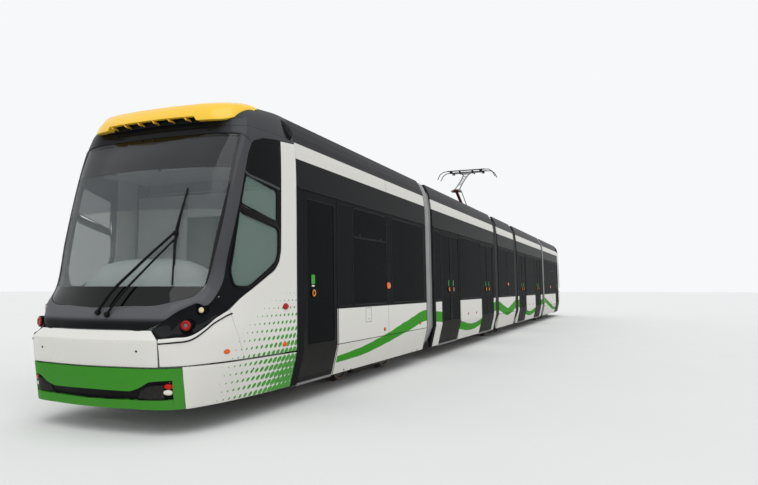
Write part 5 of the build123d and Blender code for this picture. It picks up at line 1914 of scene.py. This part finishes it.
def collector_base():
    """Insulator sheds, bolts, and the drive unit with its coil springs on the collector's base."""
    kit = Kit("collector_base_details")
    shed = ((0.0, 0.064), (0.008, 0.096), (0.014, 0.096), (0.024, 0.064))
    profile = [(0.0, 0.062), *((0.02 + 0.038 * k + up, radius) for k in range(5) for up, radius in shed)]
    profile += [(0.222, 0.064), (0.224, 0.050)]
    bolts = grown(TREES["bolt_ring"], "sill", Bolts=4, Ring=0.028, Head=0.011)
    for y in (-0.45, 0.65):
        for x in (-0.45, 0.45):
            kit.turned((x, y, 3.176), (0, 0, 1), profile, "ceramic", 24)
            kit.place(bolts, (x, y, 3.468), "sill")
    kit.crate((-0.12, 0.47, 3.462), (0.12, 0.63, 3.56), "crate", 0.012)
    for x in (-0.33, 0.33):
        coil_spring(kit, (x, 0.62, 3.52), (0, -0.55, 0), (0, 0, 1), 0.035, 12, 96, 0.006, "aluminium")
        kit.bar([(x, 0.66, 3.52), (x, 0.05, 3.52)], 0.010, "sill", 8)
    settle(kit.made(), "centre_car")


def collector_head():
    """Contact strips on their carriers, crossbars, and the boxes and posts of the strips' springs."""
    kit = Kit("collector_head_details")
    for y in STRIP_ROWS:
        for k in range(-4, 5):
            x = k * 0.14
            kit.crate((x - 0.008, y - 0.024, 5.296), (x + 0.008, y + 0.024, 5.318), "sill", 0.002)
        kit.crate((-0.60, y - 0.012, 5.318), (0.60, y + 0.012, 5.3295), "copper", 0.003)
    post = ((0.0, 0.018), (0.05, 0.018), (0.055, 0.024), (0.07, 0.024))
    for side, _ in SIDES:
        x = side * 0.50
        kit.bar([(side * 0.225, *HEAD), (x, *HEAD)], 0.013, "aluminium", 10)
        kit.bar([(x, -0.02, HEAD[1]), (x, 0.36, HEAD[1])], 0.013, "sill", 10)
        for y in STRIP_ROWS:
            kit.crate((x - 0.045, y - 0.026, 5.234), (x + 0.045, y + 0.026, 5.302), "trim", 0.006)
            kit.turned((side * 0.21, y, 5.225), (0, 0, 1), post, "trim", 12)
    settle(kit.made(), "collector_head")


def upper_arm():
    """Upper arm: two close tubes that flare to the head, zigzag braces, knee discs and the rod's lever."""
    kit = Kit("upper_arm_frame")

    def on_arm(x, along):
        return (x, KNEE[0] + (HEAD[0] - KNEE[0]) * along, KNEE[1] + (HEAD[1] - KNEE[1]) * along)

    for (y, z), half, radius in ((KNEE, 0.165, 0.020), (HEAD, 0.180, 0.018)):
        kit.bar([(-half, y, z), (half, y, z)], radius, "aluminium", 16)
    for side in (1, -1):
        disc = ((-0.030, 0.040), (-0.026, 0.045), (0.026, 0.045), (0.030, 0.040))
        kit.turned((side * 0.110, *KNEE), (1, 0, 0), disc, "aluminium", 24)
        line = [on_arm(side * x, t) for x, t in ((0.108, 0.0), (0.082, 0.06), (0.073, 0.14), (0.073, 0.80),
                                                 (0.086, 0.90), (0.140, 0.995))]
        kit.bar(line, 0.019, "aluminium", 12, 40)
    zigzag = [on_arm(0.073 if k % 2 else -0.073, 0.32 + 0.50 * k / 8) for k in range(9)]
    for first, last in zip(zigzag, zigzag[1:]):
        kit.bar([first, last], 0.006, "aluminium", 8)
    for along, half, radius in ((0.32, 0.073, 0.009), (0.82, 0.073, 0.009), (0.93, 0.095, 0.012)):
        kit.bar([on_arm(-half, along), on_arm(half, along)], radius, "aluminium", 8)
    y, z = KNEE
    lever = [(y + 0.010, z - 0.030), (y - 0.030, z + 0.010), (y - 0.083, z - 0.0555), (y - 0.067, z - 0.0715)]
    kit.loft([[(x, b, c) for b, c in lever] for x in (0.150, 0.165)], "aluminium")
    settle(kit.made(), "collector_upper_arm", ("pantograph_upper_arm",))


# Running gear
def bogie_details(name, yc, body):
    """Coil springs between their seats over the axle boxes, and the boxes' bolts."""
    kit = Kit(name)
    for side in (1, -1):
        for along in (-0.9, 0.9):
            for off in (-0.20, 0.20):
                x, y = side * 0.905, yc + along + off
                coil_spring(kit, (x, y, 0.335), (0, 0, 0.13), (0, 1, 0), 0.045, 5, 60, 0.009, "cast")
                kit.turned((x, y, 0.325), (0, 0, 1), ((0.0, 0.06), (0.012, 0.06), (0.016, 0.045)), "cast", 16)
                kit.turned((x, y, 0.465), (0, 0, 1), ((0.0, 0.045), (0.004, 0.06), (0.016, 0.06)), "cast", 16)
            bolts = grown(TREES["bolt_ring"], "sill", Bolts=6, Ring=0.07, Head=0.013)
            kit.place(bolts, (side * 0.985, yc + along, 0.325), "sill", (side, 0.0, 0.0))
    settle(kit.made(), body)


# Stage and camera
def build_stage():
    bpy.ops.mesh.primitive_plane_add(size=400)
    floor = bpy.context.object
    floor.name = "floor"
    r = Recipe("floor")
    grain = r.noise(0.6, 3.0)
    colour = r.mix(grain, (0.80, 0.80, 0.79, 1.0), (0.83, 0.83, 0.82, 1.0), seen=False)
    floor.data.materials.append(r.surface(Base_Color=colour, Roughness=0.9))
    world = bpy.data.worlds.new("studio")
    bpy.context.scene.world = world
    world.use_nodes = True
    world.node_tree.nodes.clear()

    def world_node(kind, settings=None, values=None):
        return add_node(world.node_tree, kind, settings, values).outputs

    # the backdrop is seen, mirrored and seen through glass; a dimmer dome gives the light
    rays = world_node("ShaderNodeLightPath")
    most = {"operation": "MAXIMUM"}
    seen = world_node("ShaderNodeMath", most, {0: rays["Is Camera Ray"], 1: rays["Is Glossy Ray"]})[0]
    seen = world_node("ShaderNodeMath", most, {0: seen, 1: rays["Is Transmission Ray"]})[0]
    light = world_node("ShaderNodeBackground", None, {0: (0.96, 0.98, 1.0, 1.0), 1: 0.75})[0]
    backdrop = world_node("ShaderNodeBackground", None, {0: (0.93, 0.94, 0.95, 1.0), 1: 1.0})[0]
    mix = world_node("ShaderNodeMixShader", None, {0: seen, 1: light, 2: backdrop})[0]
    world_node("ShaderNodeOutputWorld", None, {0: mix})
    sun = bpy.data.lights.new("soft_sky", "SUN")
    sun.energy = 1.1
    sun.angle = math.radians(50)
    lamp = bpy.data.objects.new("soft_sky", sun)
    lamp.rotation_euler = (math.radians(28), math.radians(22), 0)
    bpy.context.scene.collection.objects.link(lamp)


# the camera as solved from the photo: place, turn towards -X and tilt up in radians, lens in mm
CAMERA_PLACE = (5.2113, -19.8408, 1.4695)
CAMERA_YAW, CAMERA_PITCH = 0.3963, 0.072
CAMERA_LENS = 29.67


def build_camera():
    camera = bpy.data.cameras.new("camera")
    camera.sensor_width = 36.0
    camera.sensor_fit = "HORIZONTAL"
    camera.lens = CAMERA_LENS
    camera.clip_end = 500
    holder = bpy.data.objects.new("camera", camera)
    holder.location = CAMERA_PLACE
    level = math.cos(CAMERA_PITCH)
    look = Vector((-math.sin(CAMERA_YAW) * level, math.cos(CAMERA_YAW) * level, math.sin(CAMERA_PITCH)))
    holder.rotation_euler = look.to_track_quat("-Z", "Y").to_euler()
    bpy.context.scene.collection.objects.link(holder)
    bpy.context.scene.camera = holder


NODE_PAINTS = (
    ("underframe", "chassis"), ("bogie", "cast"), ("walls", "body"), ("doors", "door"), ("roof", "roof"),
    ("glass", "side_glass"), ("interior", "seat"), ("cab_mask", "black"), ("cab_panels", "cab_white"),
    ("bumper", "green"), ("visor", "yellow"), ("lamps", "trim"), ("cab_fittings", "trim"),
    ("wheelset", "wheel"), ("lower_arm", "primer"), ("upper_arm", "aluminium"), ("rod", "aluminium"),
    ("head", "copper"), ("gangway", "bellows"),
)


def paint_nodes():
    for name, piece in nodes.items():
        paint = next(p for key, p in NODE_PAINTS if key in name)
        piece.data.materials.clear()
        piece.data.materials.append(PAINTS[paint])


build_camera()
build_stage()
TREES = {tree.name: tree for tree in (slat_row(), bolt_ring(), bolt_row(), rib_row())}
paint_nodes()
build_cab()
front_car_sides()
link_car_sides()
centre_car_sides()
all_bellows()
front_car_inside()
link_car_inside()
centre_car_inside()
roof_gear()
collector_base()
collector_head()
upper_arm()
for car, middle in (("front", -10.0), ("centre", 0.0), ("rear", 10.0)):
    bogie_details(f"{car}_bogie_details", middle, f"{car}_car")
bpy.context.scene.view_settings.view_transform = "Standard"
bpy.context.view_layer.update()
